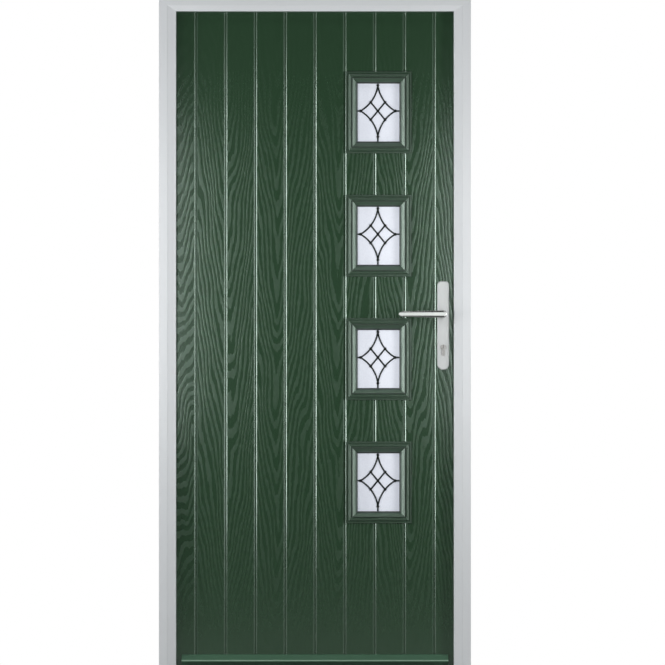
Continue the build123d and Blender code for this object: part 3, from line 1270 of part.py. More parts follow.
def lock_routes():
    """What is routed out of the lock stile and the skins for the lock."""
    low, high = bar_span()
    gap = POCKET_CLEARANCE
    case = CASE_WIDTH / 2 + gap
    bar = LOCK_BAR_WIDTH / 2 + gap
    plate = FACEPLATE_WIDTH / 2
    box = HOOK_CASE_WIDTH / 2 + gap
    front = LEAF_HALF - FACEPLATE
    cuts = [
        block(CASE_FRONT_X - CASE_DEPTH - gap, front + 1, MIDDLE_Y - case, MIDDLE_Y + case, CASE_BOTTOM - gap,
              CASE_TOP + gap),
        block(BAR_BACK_X - RUNNING_GAP, front + 1, MIDDLE_Y - bar, MIDDLE_Y + bar, low - gap,
              high + LOCK_BAR_TRAVEL + gap),
        block(front, LEAF_HALF + 1, MIDDLE_Y - plate, MIDDLE_Y + plate, FACEPLATE_BOTTOM, FACEPLATE_TOP),
        rod(SPINDLE_HOLE_RADIUS, (LOCK_X, SKIN_FRONT - 1, LEVER_Z), (0, 1, 0), LEAF_THICKNESS + 2),
        cylinder_bar(CYLINDER_CLEARANCE, SKIN_FRONT - 1, SKIN_BACK + 1),
        bolt_bore(BOLT_RADIUS + HOLE_CLEARANCE, SKIN_FRONT - 1, SKIN_BACK + 1),
    ]
    for z in HOOK_HEIGHTS.values():
        foot = z - hook_sweep(0) - HOOK_CASE_MARGIN - gap
        top = z + HOOK_HALF_WIDTH + HOOK_CASE_MARGIN + gap
        back = front - HOOK_CASE_DEPTH - gap
        cuts.append(block(back, front + 1, MIDDLE_Y - box, MIDDLE_Y + box, foot, top))
    return cuts


def build_slab():
    """The leaf's skins, stiles, rails and foam."""
    flag_places = [place for z in HINGE_HEIGHTS.values() for place in flag_screws(z)]
    routes = lock_routes()
    outer = drilled(skin_outside(), deflector_screws())
    inner = drilled(inside_out(skin_outside()), flag_places)
    core = core_parts()
    core["stile_hinge_side"] = drilled(core["stile_hinge_side"], flag_places)
    core["stile_lock_side"] = drilled(core["stile_lock_side"], faceplate_screws())
    for name in core:
        core[name] = drilled(core[name], deflector_screws())
    for cut in routes:
        outer = outer - cut
        inner = inner - cut
        core["stile_lock_side"] = core["stile_lock_side"] - cut
    parts["outer_skin"] = outer
    parts["inner_skin"] = inner
    parts.update(core)
    screw_places = flag_places + faceplate_screws() + deflector_screws()
    parts["leaf_screws"] = group([screw(*place) for place in screw_places])
    parts["rain_deflector"] = drilled(rain_deflector(), deflector_screws())


def build_windows():
    """Four glazed openings, each with its cassette, sealed unit and lead."""
    outer = cassette()
    inner = inside_out(outer)
    for x, z in cassette_screw_places():
        bore = rod(CASSETTE_SCREW_RADIUS + HOLE_CLEARANCE, (x, MIDDLE_Y, z), (0, 1, 0), LEAF_THICKNESS)
        inner = inner - bore
    unit = group([pane(GLASS_FRONT), pane(GLASS_FRONT + UNIT_DEPTH - PANE)])
    screws = []
    spacers = []
    for number, z in enumerate(WINDOW_HEIGHTS, 1):
        place = Pos(WINDOW_X, 0, z)
        parts[f"cassette_outer_{number}"] = place * outer
        parts[f"cassette_inner_{number}"] = place * inner
        parts[f"glass_{number}"] = place * unit
        parts[f"lead_pattern_{number}"] = place * lead_pattern()
        spacers.append(place * spacer())
        screws += [place * one for one in cassette_screws()]
    parts["glass_spacers"] = group(spacers)
    parts["cassette_screws"] = group(screws)


def build_lock():
    """Handles, key cylinder and lock."""
    cylinder_screw = ((LEAF_HALF, MIDDLE_Y, CYLINDER_SCREW_Z), (-1, 0, 0), LEAF_HALF - LOCK_X + SCREW_TIP)
    parts["leaf_screws"] = group([parts["leaf_screws"], screw(*cylinder_screw)])
    parts["lock_faceplate"] = drilled(lock_faceplate(), faceplate_screws() + [cylinder_screw])
    parts["lock_cases"] = group([lock_case()] + [hook_case(z) for z in HOOK_HEIGHTS.values()])
    parts["lock_bar"] = lock_bar()
    parts["latch_bolt"] = latch_bolt()
    parts["deadbolt"] = deadbolt()
    for name, z in HOOK_HEIGHTS.items():
        parts[f"hook_{name}"] = hook(z)
    parts["handle_plate_outer"] = outer_plate()
    parts["handle_plate_inner"] = inner_plate()
    parts["handle_bolts"] = group(handle_bolts())
    parts["lever_outer"] = lever()
    parts["lever_inner"] = inside_out(lever())
    parts["spindle"] = spindle()
    parts["cylinder_body"] = cylinder_body()
    parts["key_plug"] = key_plug()
    parts["cylinder_cam"] = cylinder_cam()
    parts["thumb_turn"] = thumb_turn()
    for hinge, z in HINGE_HEIGHTS.items():
        parts[f"hinge_flag_{hinge}"] = drilled(hinge_flag(z), flag_screws(z))


build_frame()
build_slab()
build_windows()
build_lock()

os.makedirs("parts", exist_ok=True)
for name, shape in parts.items():
    export_step(shape, f"parts/{name}.step")
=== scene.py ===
import math

import bmesh
import bpy
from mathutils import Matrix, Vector


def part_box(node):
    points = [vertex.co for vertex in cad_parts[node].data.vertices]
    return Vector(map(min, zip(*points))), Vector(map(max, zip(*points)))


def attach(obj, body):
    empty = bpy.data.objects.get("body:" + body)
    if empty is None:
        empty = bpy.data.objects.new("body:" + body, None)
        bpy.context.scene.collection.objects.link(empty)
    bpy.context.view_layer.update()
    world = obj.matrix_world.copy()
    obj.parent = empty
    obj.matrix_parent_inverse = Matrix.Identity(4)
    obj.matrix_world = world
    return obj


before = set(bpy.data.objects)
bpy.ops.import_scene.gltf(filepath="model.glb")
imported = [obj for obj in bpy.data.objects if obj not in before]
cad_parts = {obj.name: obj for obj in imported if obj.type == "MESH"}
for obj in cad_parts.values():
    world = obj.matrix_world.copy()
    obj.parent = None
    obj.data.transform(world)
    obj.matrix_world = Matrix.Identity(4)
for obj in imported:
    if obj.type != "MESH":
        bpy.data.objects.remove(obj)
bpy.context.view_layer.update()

# Camera
# The door is seen square on through a long lens, from the height of its middle.
# The picture is about twice as wide as the door, and its middle lies a little to the door's right.

PICTURE_WIDTH = 1.967
PICTURE_X = 0.0518
PICTURE_Z = 1.0185
LENS = 200.0
SENSOR = 36.0

camera_data = bpy.data.cameras.new("camera")
camera_data.lens = LENS
camera_data.sensor_width = SENSOR
camera = bpy.data.objects.new("camera", camera_data)
camera.location = (PICTURE_X, -PICTURE_WIDTH * LENS / SENSOR, PICTURE_Z)
camera.rotation_euler = (math.pi / 2, 0, 0)
bpy.context.scene.collection.objects.link(camera)
bpy.context.scene.camera = camera
bpy.context.scene.view_settings.view_transform = "Standard"

# Light
# Narrow soft boxes close in front light the outer planks, and a strip on either side grazes the leaf.
# A fill from the upper left and a box overhead lift the frame, and two boxes behind light the inner face.
# The room is dark in front and paler at its sides, and the camera sees white paper behind the door.

KEY_X = 0.62
KEY_Y = -1.0
KEY_Z = 1.20
KEY_WIDTH = 0.12
KEY_HEIGHT = 0.95
KEY_POWER = 3.7
KEY_AIM = 0.4
STRIP_WIDTH = 0.6
STRIP_HEIGHT = 1.6
LEFT_STRIP = (-2.6, -0.75, 1.12)
LEFT_POWER = 36.0
RIGHT_STRIP = (2.9, -1.4, 1.12)
RIGHT_POWER = 50.0
FILL = (-3.8, -3.4, 3.2)
FILL_SIZE = 0.5
FILL_POWER = 46.0
TOP = (0, -0.9, 3.4)
TOP_WIDTH = 1.6
TOP_DEPTH = 0.4
TOP_POWER = 6.0
BACK_X = 2.3
BACK_Y = 2.7
BACK_Z = 1.9
BACK_SIZE = 1.2
BACK_POWER = 80.0
ROOM_DARK = 0.05
ROOM_SIDES = 0.35
SIDES_FROM = 0.35
SIDES_FULL = 0.85
LEVEL_FULL = 0.15
LEVEL_END = 0.60


class Value:
    """A shader socket that takes part in sums like a number."""

    def __init__(self, tree, socket):
        self.tree = tree
        self.socket = socket

    def math(self, operation, *terms):
        return self.tree.node("ShaderNodeMath", {"operation": operation}, terms)

    def __add__(self, other):
        return self.math("ADD", self, other)

    def __radd__(self, other):
        return self.math("ADD", other, self)

    def __sub__(self, other):
        return self.math("SUBTRACT", self, other)

    def __rsub__(self, other):
        return self.math("SUBTRACT", other, self)

    def __mul__(self, other):
        return self.math("MULTIPLY", self, other)

    def __rmul__(self, other):
        return self.math("MULTIPLY", other, self)

    def __truediv__(self, other):
        return self.math("DIVIDE", self, other)

    def __rtruediv__(self, other):
        return self.math("DIVIDE", other, self)

    def __pow__(self, other):
        return self.math("POWER", self, other)

    def __rpow__(self, other):
        return self.math("POWER", other, self)

    def __abs__(self):
        return self.math("ABSOLUTE", self)


class Tree:
    """A node tree with one way to make a node."""

    def __init__(self, data):
        self.data = data

    def node(self, kind, settings=None, inputs=None, output=0):
        """One node: its settings first, then the values or links of its sockets."""
        made = self.data.nodes.new(kind)
        for key, value in (settings or {}).items():
            setattr(made, key, value)
        pairs = inputs.items() if isinstance(inputs, dict) else enumerate(inputs or [])
        for key, value in pairs:
            if isinstance(value, Value):
                self.data.links.new(value.socket, made.inputs[key])
            else:
                made.inputs[key].default_value = value
        return Value(self, made.outputs[output]) if made.outputs else None

    def step(self, value, low, high):
        """0 below low, 1 above high, and smooth between them."""
        return self.node("ShaderNodeMapRange", {"interpolation_type": "SMOOTHSTEP"},
                         {"Value": value, "From Min": low, "From Max": high})

    def between(self, share, low, high):
        """A number between two numbers."""
        return share * (high - low) + low


def soft_box(name, place, aim, width, height, power):
    """A rectangular light that points at a place and is not seen itself."""
    data = bpy.data.lights.new(name, "AREA")
    data.shape = "RECTANGLE"
    data.size = width
    data.size_y = height
    data.energy = power
    lamp = bpy.data.objects.new(name, data)
    lamp.location = place
    lamp.rotation_euler = (Vector(aim) - Vector(place)).to_track_quat("-Z", "Y").to_euler()
    lamp.visible_camera = False
    bpy.context.scene.collection.objects.link(lamp)


target = (0, 0, KEY_Z)
for side, word in ((-1, "left"), (1, "right")):
    key_place = (side * KEY_X, KEY_Y, KEY_Z)
    key_target = (side * KEY_AIM, 0, KEY_Z)
    back_place = (side * BACK_X, BACK_Y, BACK_Z)
    soft_box(f"key_{word}", key_place, key_target, KEY_WIDTH, KEY_HEIGHT, KEY_POWER)
    soft_box(f"back_{word}", back_place, target, BACK_SIZE, BACK_SIZE, BACK_POWER)
soft_box("strip_left", LEFT_STRIP, target, STRIP_WIDTH, STRIP_HEIGHT, LEFT_POWER)
soft_box("strip_right", RIGHT_STRIP, target, STRIP_WIDTH, STRIP_HEIGHT, RIGHT_POWER)
soft_box("fill", FILL, target, FILL_SIZE, FILL_SIZE, FILL_POWER)
soft_box("top", TOP, target, TOP_WIDTH, TOP_DEPTH, TOP_POWER)

world = bpy.data.worlds.new("room")
bpy.context.scene.world = world
world.use_nodes = True
world.node_tree.nodes.clear()
room = Tree(world.node_tree)
toward = room.node("ShaderNodeTexCoord", output="Generated")
aside = abs(room.node("ShaderNodeSeparateXYZ", inputs=[toward], output="X"))
steep = abs(room.node("ShaderNodeSeparateXYZ", inputs=[toward], output="Z"))
glow = room.step(aside, SIDES_FROM, SIDES_FULL) * (1 - room.step(steep, LEVEL_FULL, LEVEL_END))
walls = room.node("ShaderNodeBackground", inputs={"Strength": glow * ROOM_SIDES + ROOM_DARK})
paper = room.node("ShaderNodeBackground", inputs={"Color": (1, 1, 1, 1)})
seen = room.node("ShaderNodeLightPath", output="Is Camera Ray")
surface = room.node("ShaderNodeMixShader", inputs=[seen, walls, paper])
room.node("ShaderNodeOutputWorld", inputs={"Surface": surface})

# Frame members
# White plastic profile, extruded, mitred and welded at the top corners.
# The surface is smooth, with faint draw lines along each length and a slight gloss.

MILLIMETRES = 1000.0
MIX_SHARE = 0
MIX_FIRST = 6
MIX_SECOND = 7
MIX_RESULT = 2
PLASTIC = (0.650, 0.673, 0.692)
PLASTIC_ROUGH = (0.29, 0.39)


def tint(colour, share):
    """A colour made darker or lighter."""
    return tuple(min(1.0, part * share) for part in colour)


class Finish(Tree):
    """A material in the making, with its nodes and its Principled shader. Lengths are in millimetres."""

    def __init__(self, name, **constants):
        self.material = bpy.data.materials.new(name)
        self.material.use_nodes = True
        super().__init__(self.material.node_tree)
        self.shader = self.data.nodes["Principled BSDF"]
        for key, value in constants.items():
            self.shader.inputs[key.replace("_", " ")].default_value = value
        where = self.node("ShaderNodeTexCoord", output="Object")
        self.x, self.y, self.z = [
            self.node("ShaderNodeSeparateXYZ", inputs=[where], output=axis) * MILLIMETRES for axis in "XYZ"]

    def noise(self, u, v, w, detail=2.0):
        """Smooth noise from 0 to 1 at three coordinates."""
        vector = self.node("ShaderNodeCombineXYZ", inputs=[u, v, w])
        return self.node("ShaderNodeTexNoise", inputs={"Vector": vector, "Scale": 1.0, "Detail": detail})

    def streaks(self, width, length, detail=2.0):
        """Noise that is drawn out up the door."""
        return self.noise(self.x / width, self.z / length, self.y / width, detail)

    def mottle(self, size, detail=2.0):
        """Noise that is alike in every direction."""
        return self.streaks(size, size, detail)

    def face_streaks(self, width, length, layer, detail=2.0):
        """Noise drawn out up the door's face, the same through its depth and different in each layer."""
        return self.noise(self.x / width, self.z / length, layer, detail)

    def mix(self, share, first, second):
        """A colour between two colours."""
        terms = {MIX_SHARE: share}
        for key, colour in ((MIX_FIRST, first), (MIX_SECOND, second)):
            terms[key] = colour if isinstance(colour, Value) else (*colour, 1.0)
        return self.node("ShaderNodeMix", {"data_type": "RGBA"}, terms, output=MIX_RESULT)

    def shades(self, share, colour, low, high):
        """One colour between two of its tints."""
        return self.mix(share, tint(colour, low), tint(colour, high))

    def feed(self, **values):
        """Links values to sockets of the shader."""
        for key, value in values.items():
            self.data.links.new(value.socket, self.shader.inputs[key.replace("_", " ")])

    def bump(self, height, depth):
        """Relief of a height from 0 to 1."""
        self.feed(Normal=self.node("ShaderNodeBump", inputs={
            "Strength": 1.0, "Distance": depth / MILLIMETRES, "Height": height}))

    def on(self, *names):
        """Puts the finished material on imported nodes."""
        for name in names:
            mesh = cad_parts[name].data
            mesh.materials.clear()
            mesh.materials.append(self.material)


plastic = Finish("white_profile")
drawn = plastic.streaks(width=3.0, length=900.0)
cloud = plastic.streaks(width=300.0, length=260.0)
plastic.feed(Base_Color=plastic.shades(cloud, PLASTIC, low=0.97, high=1.03))
plastic.feed(Roughness=plastic.between(drawn, *PLASTIC_ROUGH))
plastic.bump(drawn, depth=0.02)
plastic.on("jamb_hinge_side", "jamb_lock_side", "frame_head")

# Steel inside the frame and the lock's sheet parts
# Roll-formed tubes, pressed strips and turned screws, all zinc plated.
# Plating leaves a soft spangle and fine lines along the metal.

STEEL = (0.60, 0.61, 0.62)
STEEL_ROUGH = (0.26, 0.42)

steel = Finish("zinc_plate", Metallic=1.0)
spangle = steel.streaks(width=4.0, length=9.0, detail=3.0)
lines = steel.streaks(width=0.5, length=30.0)
steel.feed(Base_Color=steel.shades(spangle, STEEL, low=0.86, high=1.08))
steel.feed(Roughness=steel.between(lines, *STEEL_ROUGH))
steel.bump(lines, depth=0.01)
steel.on("steel_tubes", "keep_centre", "keeps_for_hooks", "lock_faceplate", "lock_cases", "lock_bar",
         "hook_lower", "hook_upper", "latch_bolt", "deadbolt", "spindle", "frame_screws",
         "cassette_screws", "handle_bolts", "hinge_pins")

# Threshold
# Extruded aluminium with its mill finish: fine lines run across the door.
# It is notched round the jambs and screwed to them from below.

MILL = (0.66, 0.67, 0.69)
MILL_ROUGH = (0.30, 0.48)
MILL_LINE = 0.4
MILL_LENGTH = 60.0

mill = Finish("mill_aluminium", Metallic=1.0)
lines = mill.noise(mill.x / MILL_LENGTH, mill.z / MILL_LINE, mill.y / MILL_LINE, detail=3.0)
mill.feed(Base_Color=mill.shades(lines, MILL, low=0.9, high=1.06))
mill.feed(Roughness=mill.between(lines, *MILL_ROUGH))
mill.bump(lines, depth=0.015)
mill.on("threshold")

# Seal
# Black rubber with a soft bulb, pushed into the frame's slot and cut at the corners.
# It is matt, with a faint bloom.

RUBBER = (0.018, 0.018, 0.020)
RUBBER_ROUGH = (0.5, 0.7)

rubber = Finish("black_rubber")
bloom = rubber.mottle(size=25.0, detail=3.0)
rubber.feed(Base_Color=rubber.shades(bloom, RUBBER, low=1.0, high=1.9))
rubber.feed(Roughness=rubber.between(bloom, *RUBBER_ROUGH))
rubber.bump(bloom, depth=0.03)
rubber.on("frame_seal")

# Edge frame and core of the leaf
# Stiles and rails of laminated softwood, glued up from strips with the grain along each one.
# The foam between them is rigid, pale and closed-celled.

TIMBER = (0.56, 0.38, 0.21)
TIMBER_DARK = (0.36, 0.21, 0.10)
TIMBER_ROUGH = (0.42, 0.62)
YEAR_WIDTH = 3.2
YEAR_DEPTH = 2.2
YEAR_LENGTH = 260.0
YEAR_WANDER = 9.0
LATEWOOD = (0.42, 0.62)
FOAM = (0.74, 0.66, 0.44)
CELL_SCALE = 0.8

timber = Finish("laminated_softwood")
wander = timber.streaks(width=60.0, length=420.0) * YEAR_WANDER
years = timber.noise(timber.x / YEAR_WIDTH, timber.z / YEAR_LENGTH, timber.y / YEAR_DEPTH + wander, detail=4.0)
timber.feed(Base_Color=timber.mix(timber.step(years, *LATEWOOD), TIMBER, TIMBER_DARK))
timber.feed(Roughness=timber.between(years, *TIMBER_ROUGH))
timber.bump(years, depth=0.12)
timber.on("stile_hinge_side", "stile_lock_side", "rail_bottom", "rail_top")

foam = Finish("rigid_foam", Roughness=0.9)
place = foam.node("ShaderNodeCombineXYZ", inputs=[foam.x, foam.y, foam.z])
cells = foam.node("ShaderNodeTexVoronoi", inputs={"Vector": place, "Scale": CELL_SCALE})
foam.feed(Base_Color=foam.shades(cells, FOAM, low=1.0, high=0.8))
foam.bump(cells, depth=0.3)
foam.on("foam_core")

# Outer skin
# Glass-fibre moulding in satin dark green, with planks of flat-sawn grain between the grooves.
# Every pair of planks shares a heart, from which arched rings spread, and fine pores run along them.
# The mould's grain grows faint towards the top and the foot, and its raised bands are rougher than the rest.

GROOVE_PITCH = 88.0
GROOVE_HALF = 4.6
GROOVE_SOFT = 0.4
PLANK_PAIR = 2 * GROOVE_PITCH
HEART_SWAY = 28.0
HEART_STEP = 1.35
HEART_FIRST = 3
HEART_WIDTH = 9.0
RING_PITCH = 12.0
RING_RISE = 90.0
RING_BEND = 5.0
RING_WOBBLE = 0.9
RING_BAND = (0.34, 0.76)
PAIR_LAYER = 5.3
EDGE_PLANK = -4 * GROOVE_PITCH
EDGE_SOFT = 3.0
EDGE_SPREAD = 0.45
EDGE_STEEP = 1.0
PORE_BAND = (0.36, 0.64)
PORE_SHARE = 0.40
FAINT = 0.22
FAINT_BELOW = 60.0
FULL_ABOVE = 420.0
FULL_BELOW = 1430.0
FAINT_ABOVE = 1860.0
GRAIN_DEPTH = 0.11
GREEN = (0.0188, 0.0505, 0.0230)
GREEN_SHEEN = (0.82, 1.0, 0.90, 1.0)
SMOOTH_ROUGH = 0.21
PORE_ROUGH = 0.42
GROOVE_ROUGH = 0.22
FLECK_BAND = (0.40, 0.60)
FLECK_SHARE = (0.6, 1.1)


def rings(finish):
    """Rings of the grain, counted out from the heart of each pair of planks."""
    pair = finish.node("ShaderNodeMath", {"operation": "FLOOR"}, [finish.x / PLANK_PAIR])
    phase = (pair + HEART_FIRST) * HEART_STEP
    sway = finish.node("ShaderNodeMath", {"operation": "COSINE"}, [phase]) * HEART_SWAY
    off = finish.x - (pair + 0.5) * PLANK_PAIR - sway
    edge = 1 - finish.step(finish.x, EDGE_PLANK - EDGE_SOFT, EDGE_PLANK + EDGE_SOFT)
    across = (off * off + HEART_WIDTH ** 2) ** 0.5 / RING_PITCH * (1 - edge * EDGE_SPREAD)
    along = finish.z / RING_RISE * (edge * EDGE_STEEP + 1)
    bend = finish.face_streaks(width=70.0, length=300.0, layer=pair * PAIR_LAYER, detail=1.0) - 0.5
    wobble = finish.face_streaks(width=14.0, length=90.0, layer=3.5, detail=3.0) - 0.5
    return across - along + bend * RING_BEND + wobble * RING_WOBBLE


def grain(finish):
    """Relief of the planks from 0 to 1, and where the surface is not groove."""
    turn = rings(finish) * (2 * math.pi)
    wave = finish.node("ShaderNodeMath", {"operation": "SINE"}, [turn]) * 0.5 + 0.5
    pores = finish.step(finish.face_streaks(width=1.3, length=5.0, layer=5.5), *PORE_BAND)
    nearest = finish.node("ShaderNodeMath", {"operation": "PINGPONG"}, [finish.x, GROOVE_PITCH / 2])
    flat = finish.step(nearest, GROOVE_HALF - GROOVE_SOFT, GROOVE_HALF + GROOVE_SOFT)
    above_foot = finish.step(finish.z, FAINT_BELOW, FULL_ABOVE)
    near_top = finish.step(finish.z, FULL_BELOW, FAINT_ABOVE)
    press = finish.between(above_foot * (1 - near_top), FAINT, 1)
    raised = finish.step(wave, *RING_BAND) * (1 - pores * PORE_SHARE) * flat * press
    return raised, flat


green = Finish("green_woodgrain", IOR=1.6, Specular_IOR_Level=1.0, Specular_Tint=GREEN_SHEEN)
raised, flat = grain(green)
fleck = green.step(green.face_streaks(width=3.2, length=9.0, layer=7.5), *FLECK_BAND)
dulled = raised * green.between(fleck, *FLECK_SHARE) * (PORE_ROUGH - SMOOTH_ROUGH)
green.feed(Base_Color=green.shades(raised, GREEN, low=1.0, high=1.03))
green.feed(Roughness=green.between(flat, GROOVE_ROUGH, SMOOTH_ROUGH) + dulled)
green.bump(raised, GRAIN_DEPTH)
green.on("outer_skin")

# Inner skin
# The same glass-fibre moulding on the house side, from the same kind of mould, in satin white.
# It is bonded to the edge frame and the foam, as the outer skin is.

WHITE = (0.72, 0.73, 0.72)
WHITE_DULLED = 0.05

white = Finish("white_woodgrain")
raised, flat = grain(white)
white.feed(Base_Color=white.shades(raised, WHITE, low=0.97, high=1.02))
white.feed(Roughness=white.between(flat, GROOVE_ROUGH, SMOOTH_ROUGH) + raised * WHITE_DULLED)
white.bump(raised, GRAIN_DEPTH)
white.on("inner_skin")

# Cassettes
# Moulded glazing frames, one pair round each window, screwed together through the leaf.
# Their grain runs along each side and meets in a mitre at the corners.
# A dark rubber seal closes each to the pane, and its band is also painted shade on the lip's inner slope.
# Painted shadow darkens the step and runs as a line round the rim.

CASSETTE_GREEN = (0.016, 0.042, 0.020)
CASSETTE_LIGHT = (0.026, 0.056, 0.032)
CASSETTE_ROUGH = (0.40, 0.34)
CASSETTE_DULLED = 0.35
FIBRE_WIDTH = 2.2
FIBRE_LENGTH = 46.0
FIBRE_DEPTH = 6.0
FIBRE_SHIFT = 30.0
FIBRE_BAND = (0.40, 0.66)
MITRE_SOFT = 0.5
# Where the dark seal band at the pane begins; the band is also painted shade on the lip's inner slope.
DARK_BAND_INSET = 30.4
DARK_BAND_SOFT = 0.8
RIM = 1.3
RIM_SOFT = 0.4
# Where the step lies and how wide its painted shadow is; the last two say how dark the painted shade is in the
# green and in the white moulding.
RECESS = 18.6
RECESS_HALF = 1.3
RECESS_SOFT = 0.6
SHADE_GREEN = 0.2
SHADE_WHITE = 0.8

numbers = range(1, 5)
windows = [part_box(f"cassette_outer_{number}") for number in numbers]
middles = [(low + high) / 2 * MILLIMETRES for low, high in windows]
half = (windows[0][1] - windows[0][0]) / 2 * MILLIMETRES
half_pitch = (middles[0].z - middles[1].z) / 2


def past_edge(finish):
    """How far a point lies beside the outer edge of its cassette, and how far above or below it."""
    aside = finish.x - middles[0].x
    along = finish.node("ShaderNodeMath", {"operation": "WRAP"},
                        [finish.z - middles[0].z, half_pitch, -half_pitch])
    return abs(aside) - half.x, abs(along) - half.z


def fibres(finish, upright):
    """Fine grain from 0 to 1, along the sides where upright is 1 and along the top and foot elsewhere."""
    depth = finish.y / FIBRE_DEPTH
    along = finish.noise(finish.x / FIBRE_WIDTH, finish.z / FIBRE_LENGTH, depth, detail=3.0)
    level = finish.noise(finish.x / FIBRE_LENGTH, finish.z / FIBRE_WIDTH, depth + FIBRE_SHIFT, detail=3.0)
    return finish.step(along * upright + level * (1 - upright), *FIBRE_BAND)


def cassette_finish(name, dark, light, sheen, shadow):
    """Moulded plastic with its grain, painted shadow in its step and round its rim, and a dark seal band at
    the pane that is also painted shade.
    """
    finish = Finish(name, IOR=1.6, Specular_IOR_Level=1.0, Specular_Tint=sheen)
    beside, above = past_edge(finish)
    shade = fibres(finish, finish.step(beside - above, -MITRE_SOFT, MITRE_SOFT))
    edge = finish.node("ShaderNodeMath", {"operation": "MAXIMUM"}, [beside, above])
    # Painted shadow in the step of the moulding.
    recess_shade = 1 - finish.step(abs(edge + RECESS), RECESS_HALF - RECESS_SOFT, RECESS_HALF + RECESS_SOFT)
    # A dark seal band at the pane, which is also painted shade on the lip's inner slope.
    gasket_and_shade = 1 - finish.step(edge, -DARK_BAND_INSET - DARK_BAND_SOFT, -DARK_BAND_INSET)
    # A painted shadow line round the outer edge of the rim.
    rim_shadow = finish.step(edge, -RIM - RIM_SOFT, -RIM + RIM_SOFT)
    lined = finish.mix(recess_shade + rim_shadow, finish.mix(shade, dark, light), tint(dark, shadow))
    finish.feed(Base_Color=finish.mix(gasket_and_shade, lined, tint(RUBBER, 0.5)))
    dulled = (recess_shade + gasket_and_shade + rim_shadow) * CASSETTE_DULLED
    finish.feed(Roughness=finish.between(shade, *CASSETTE_ROUGH) + dulled)
    finish.bump(shade, depth=0.08)
    return finish


cassette_finish("green_moulding", CASSETTE_GREEN, CASSETTE_LIGHT, GREEN_SHEEN, SHADE_GREEN).on(
    *[f"cassette_outer_{number}" for number in numbers])
cassette_finish("white_moulding", tint(WHITE, 0.97), tint(WHITE, 1.03), (1, 1, 1, 1), SHADE_WHITE).on(
    *[f"cassette_inner_{number}" for number in numbers])

# Sealed units
# Two panes with a fine obscuring texture, held apart by a folded aluminium bar.
# The pattern is rolled into the glass, so it is a shallow relief, and a faint painted glow stands in for
# daylight through it.

GLASS = (0.81, 0.835, 0.89)
GLASS_ROUGH = (0.18, 0.38)
PAINTED_GLOW = (0.55, 0.65, 0.95, 1.0)
PAINTED_GLOW_STRENGTH = 0.10
BAR_SIZE = 8.0
BAR_LINE = 0.6
BAR_ROUGH = (0.32, 0.47)

# The glass glows faintly: a painted glow, though the glass is no lamp.
glass = Finish("obscure_glass", IOR=1.5, Emission_Color=PAINTED_GLOW, Emission_Strength=PAINTED_GLOW_STRENGTH)
ripple = glass.mottle(size=2.4, detail=3.0)
haze = glass.streaks(width=30.0, length=40.0)
glass.feed(Base_Color=glass.shades(haze, GLASS, low=0.96, high=1.03))
glass.feed(Roughness=glass.between(ripple, *GLASS_ROUGH))
glass.bump(ripple, depth=0.10)
glass.on(*[f"glass_{number}" for number in numbers])

bar = Finish("spacer_bar", Metallic=1.0)
roll = bar.noise(bar.x / BAR_SIZE, bar.z / BAR_SIZE, bar.y / BAR_LINE)
bar.feed(Base_Color=bar.shades(roll, MILL, low=0.9, high=1.04))
bar.feed(Roughness=bar.between(roll, *BAR_ROUGH))
bar.on("glass_spacers")

# Lead and its solder
# Soft lead strip rolled on to the outer pane, blackened, with a blob of solder at every joint.
# The joints are where strips cross and where the bowed sides meet in points.

LEAD = (0.005, 0.008, 0.006)
LEAD_ROUGH = (0.45, 0.70)
LEAD_SHINE = 0.15
SOLDER = (0.007, 0.009, 0.008)
STAR_HALF_WIDTH = 0.0515
STAR_HALF_HEIGHT = 0.076
NODE_X = 0.0213
NODE_Z = 0.0259
LEAD_RISE = 0.0046
LEAD_SHIFT = -0.0020
SOLDER_RADIUS = 0.0043
SOLDER_DOME = 0.0007
SOLDER_TURNS = 18
SOLDER_RINGS = 10


def piece_of(finish, name, mesh, smooth):
    """An object from a bmesh, with its finish and with its place in its mesh."""
    data = bpy.data.meshes.new(name)
    mesh.to_mesh(data)
    mesh.free()
    data.materials.append(finish.material)
    for face in data.polygons:
        face.use_smooth = smooth
    piece = bpy.data.objects.new(name, data)
    bpy.context.scene.collection.objects.link(piece)
    return piece


lead = Finish("blackened_lead", Specular_IOR_Level=LEAD_SHINE)
dull = lead.mottle(size=3.0, detail=3.0)
lead.feed(Base_Color=lead.shades(dull, LEAD, low=1.0, high=1.8))
lead.feed(Roughness=lead.between(dull, *LEAD_ROUGH))
lead.bump(dull, depth=0.05)
lead.on(*[f"lead_pattern_{number}" for number in numbers])

solder = Finish("solder", Roughness=0.5, Specular_IOR_Level=LEAD_SHINE)
dull = solder.mottle(size=2.0, detail=3.0)
solder.feed(Base_Color=solder.shades(dull, SOLDER, low=1.0, high=2.0))
solder.bump(dull, depth=0.05)

joints = [(0, 0)]
for side in (-1, 1):
    joints += [(side * STAR_HALF_WIDTH, 0), (0, side * STAR_HALF_HEIGHT)]
    joints += [(side * NODE_X, NODE_Z), (side * NODE_X, -NODE_Z)]

for number, (low, high) in zip(numbers, windows):
    middle = (low + high) / 2
    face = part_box(f"lead_pattern_{number}")[0].y
    blobs = bmesh.new()
    for x, z in joints:
        place = (middle.x + LEAD_SHIFT + x, face, middle.z + LEAD_RISE + z)
        dome = bmesh.ops.create_uvsphere(
            blobs, u_segments=SOLDER_TURNS, v_segments=SOLDER_RINGS, radius=1.0)["verts"]
        bmesh.ops.scale(blobs, vec=(SOLDER_RADIUS, SOLDER_DOME, SOLDER_RADIUS), verts=dome)
        bmesh.ops.translate(blobs, vec=place, verts=dome)
    piece = piece_of(solder, f"solder_{number}", blobs, smooth=True)
    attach(piece, "leaf")

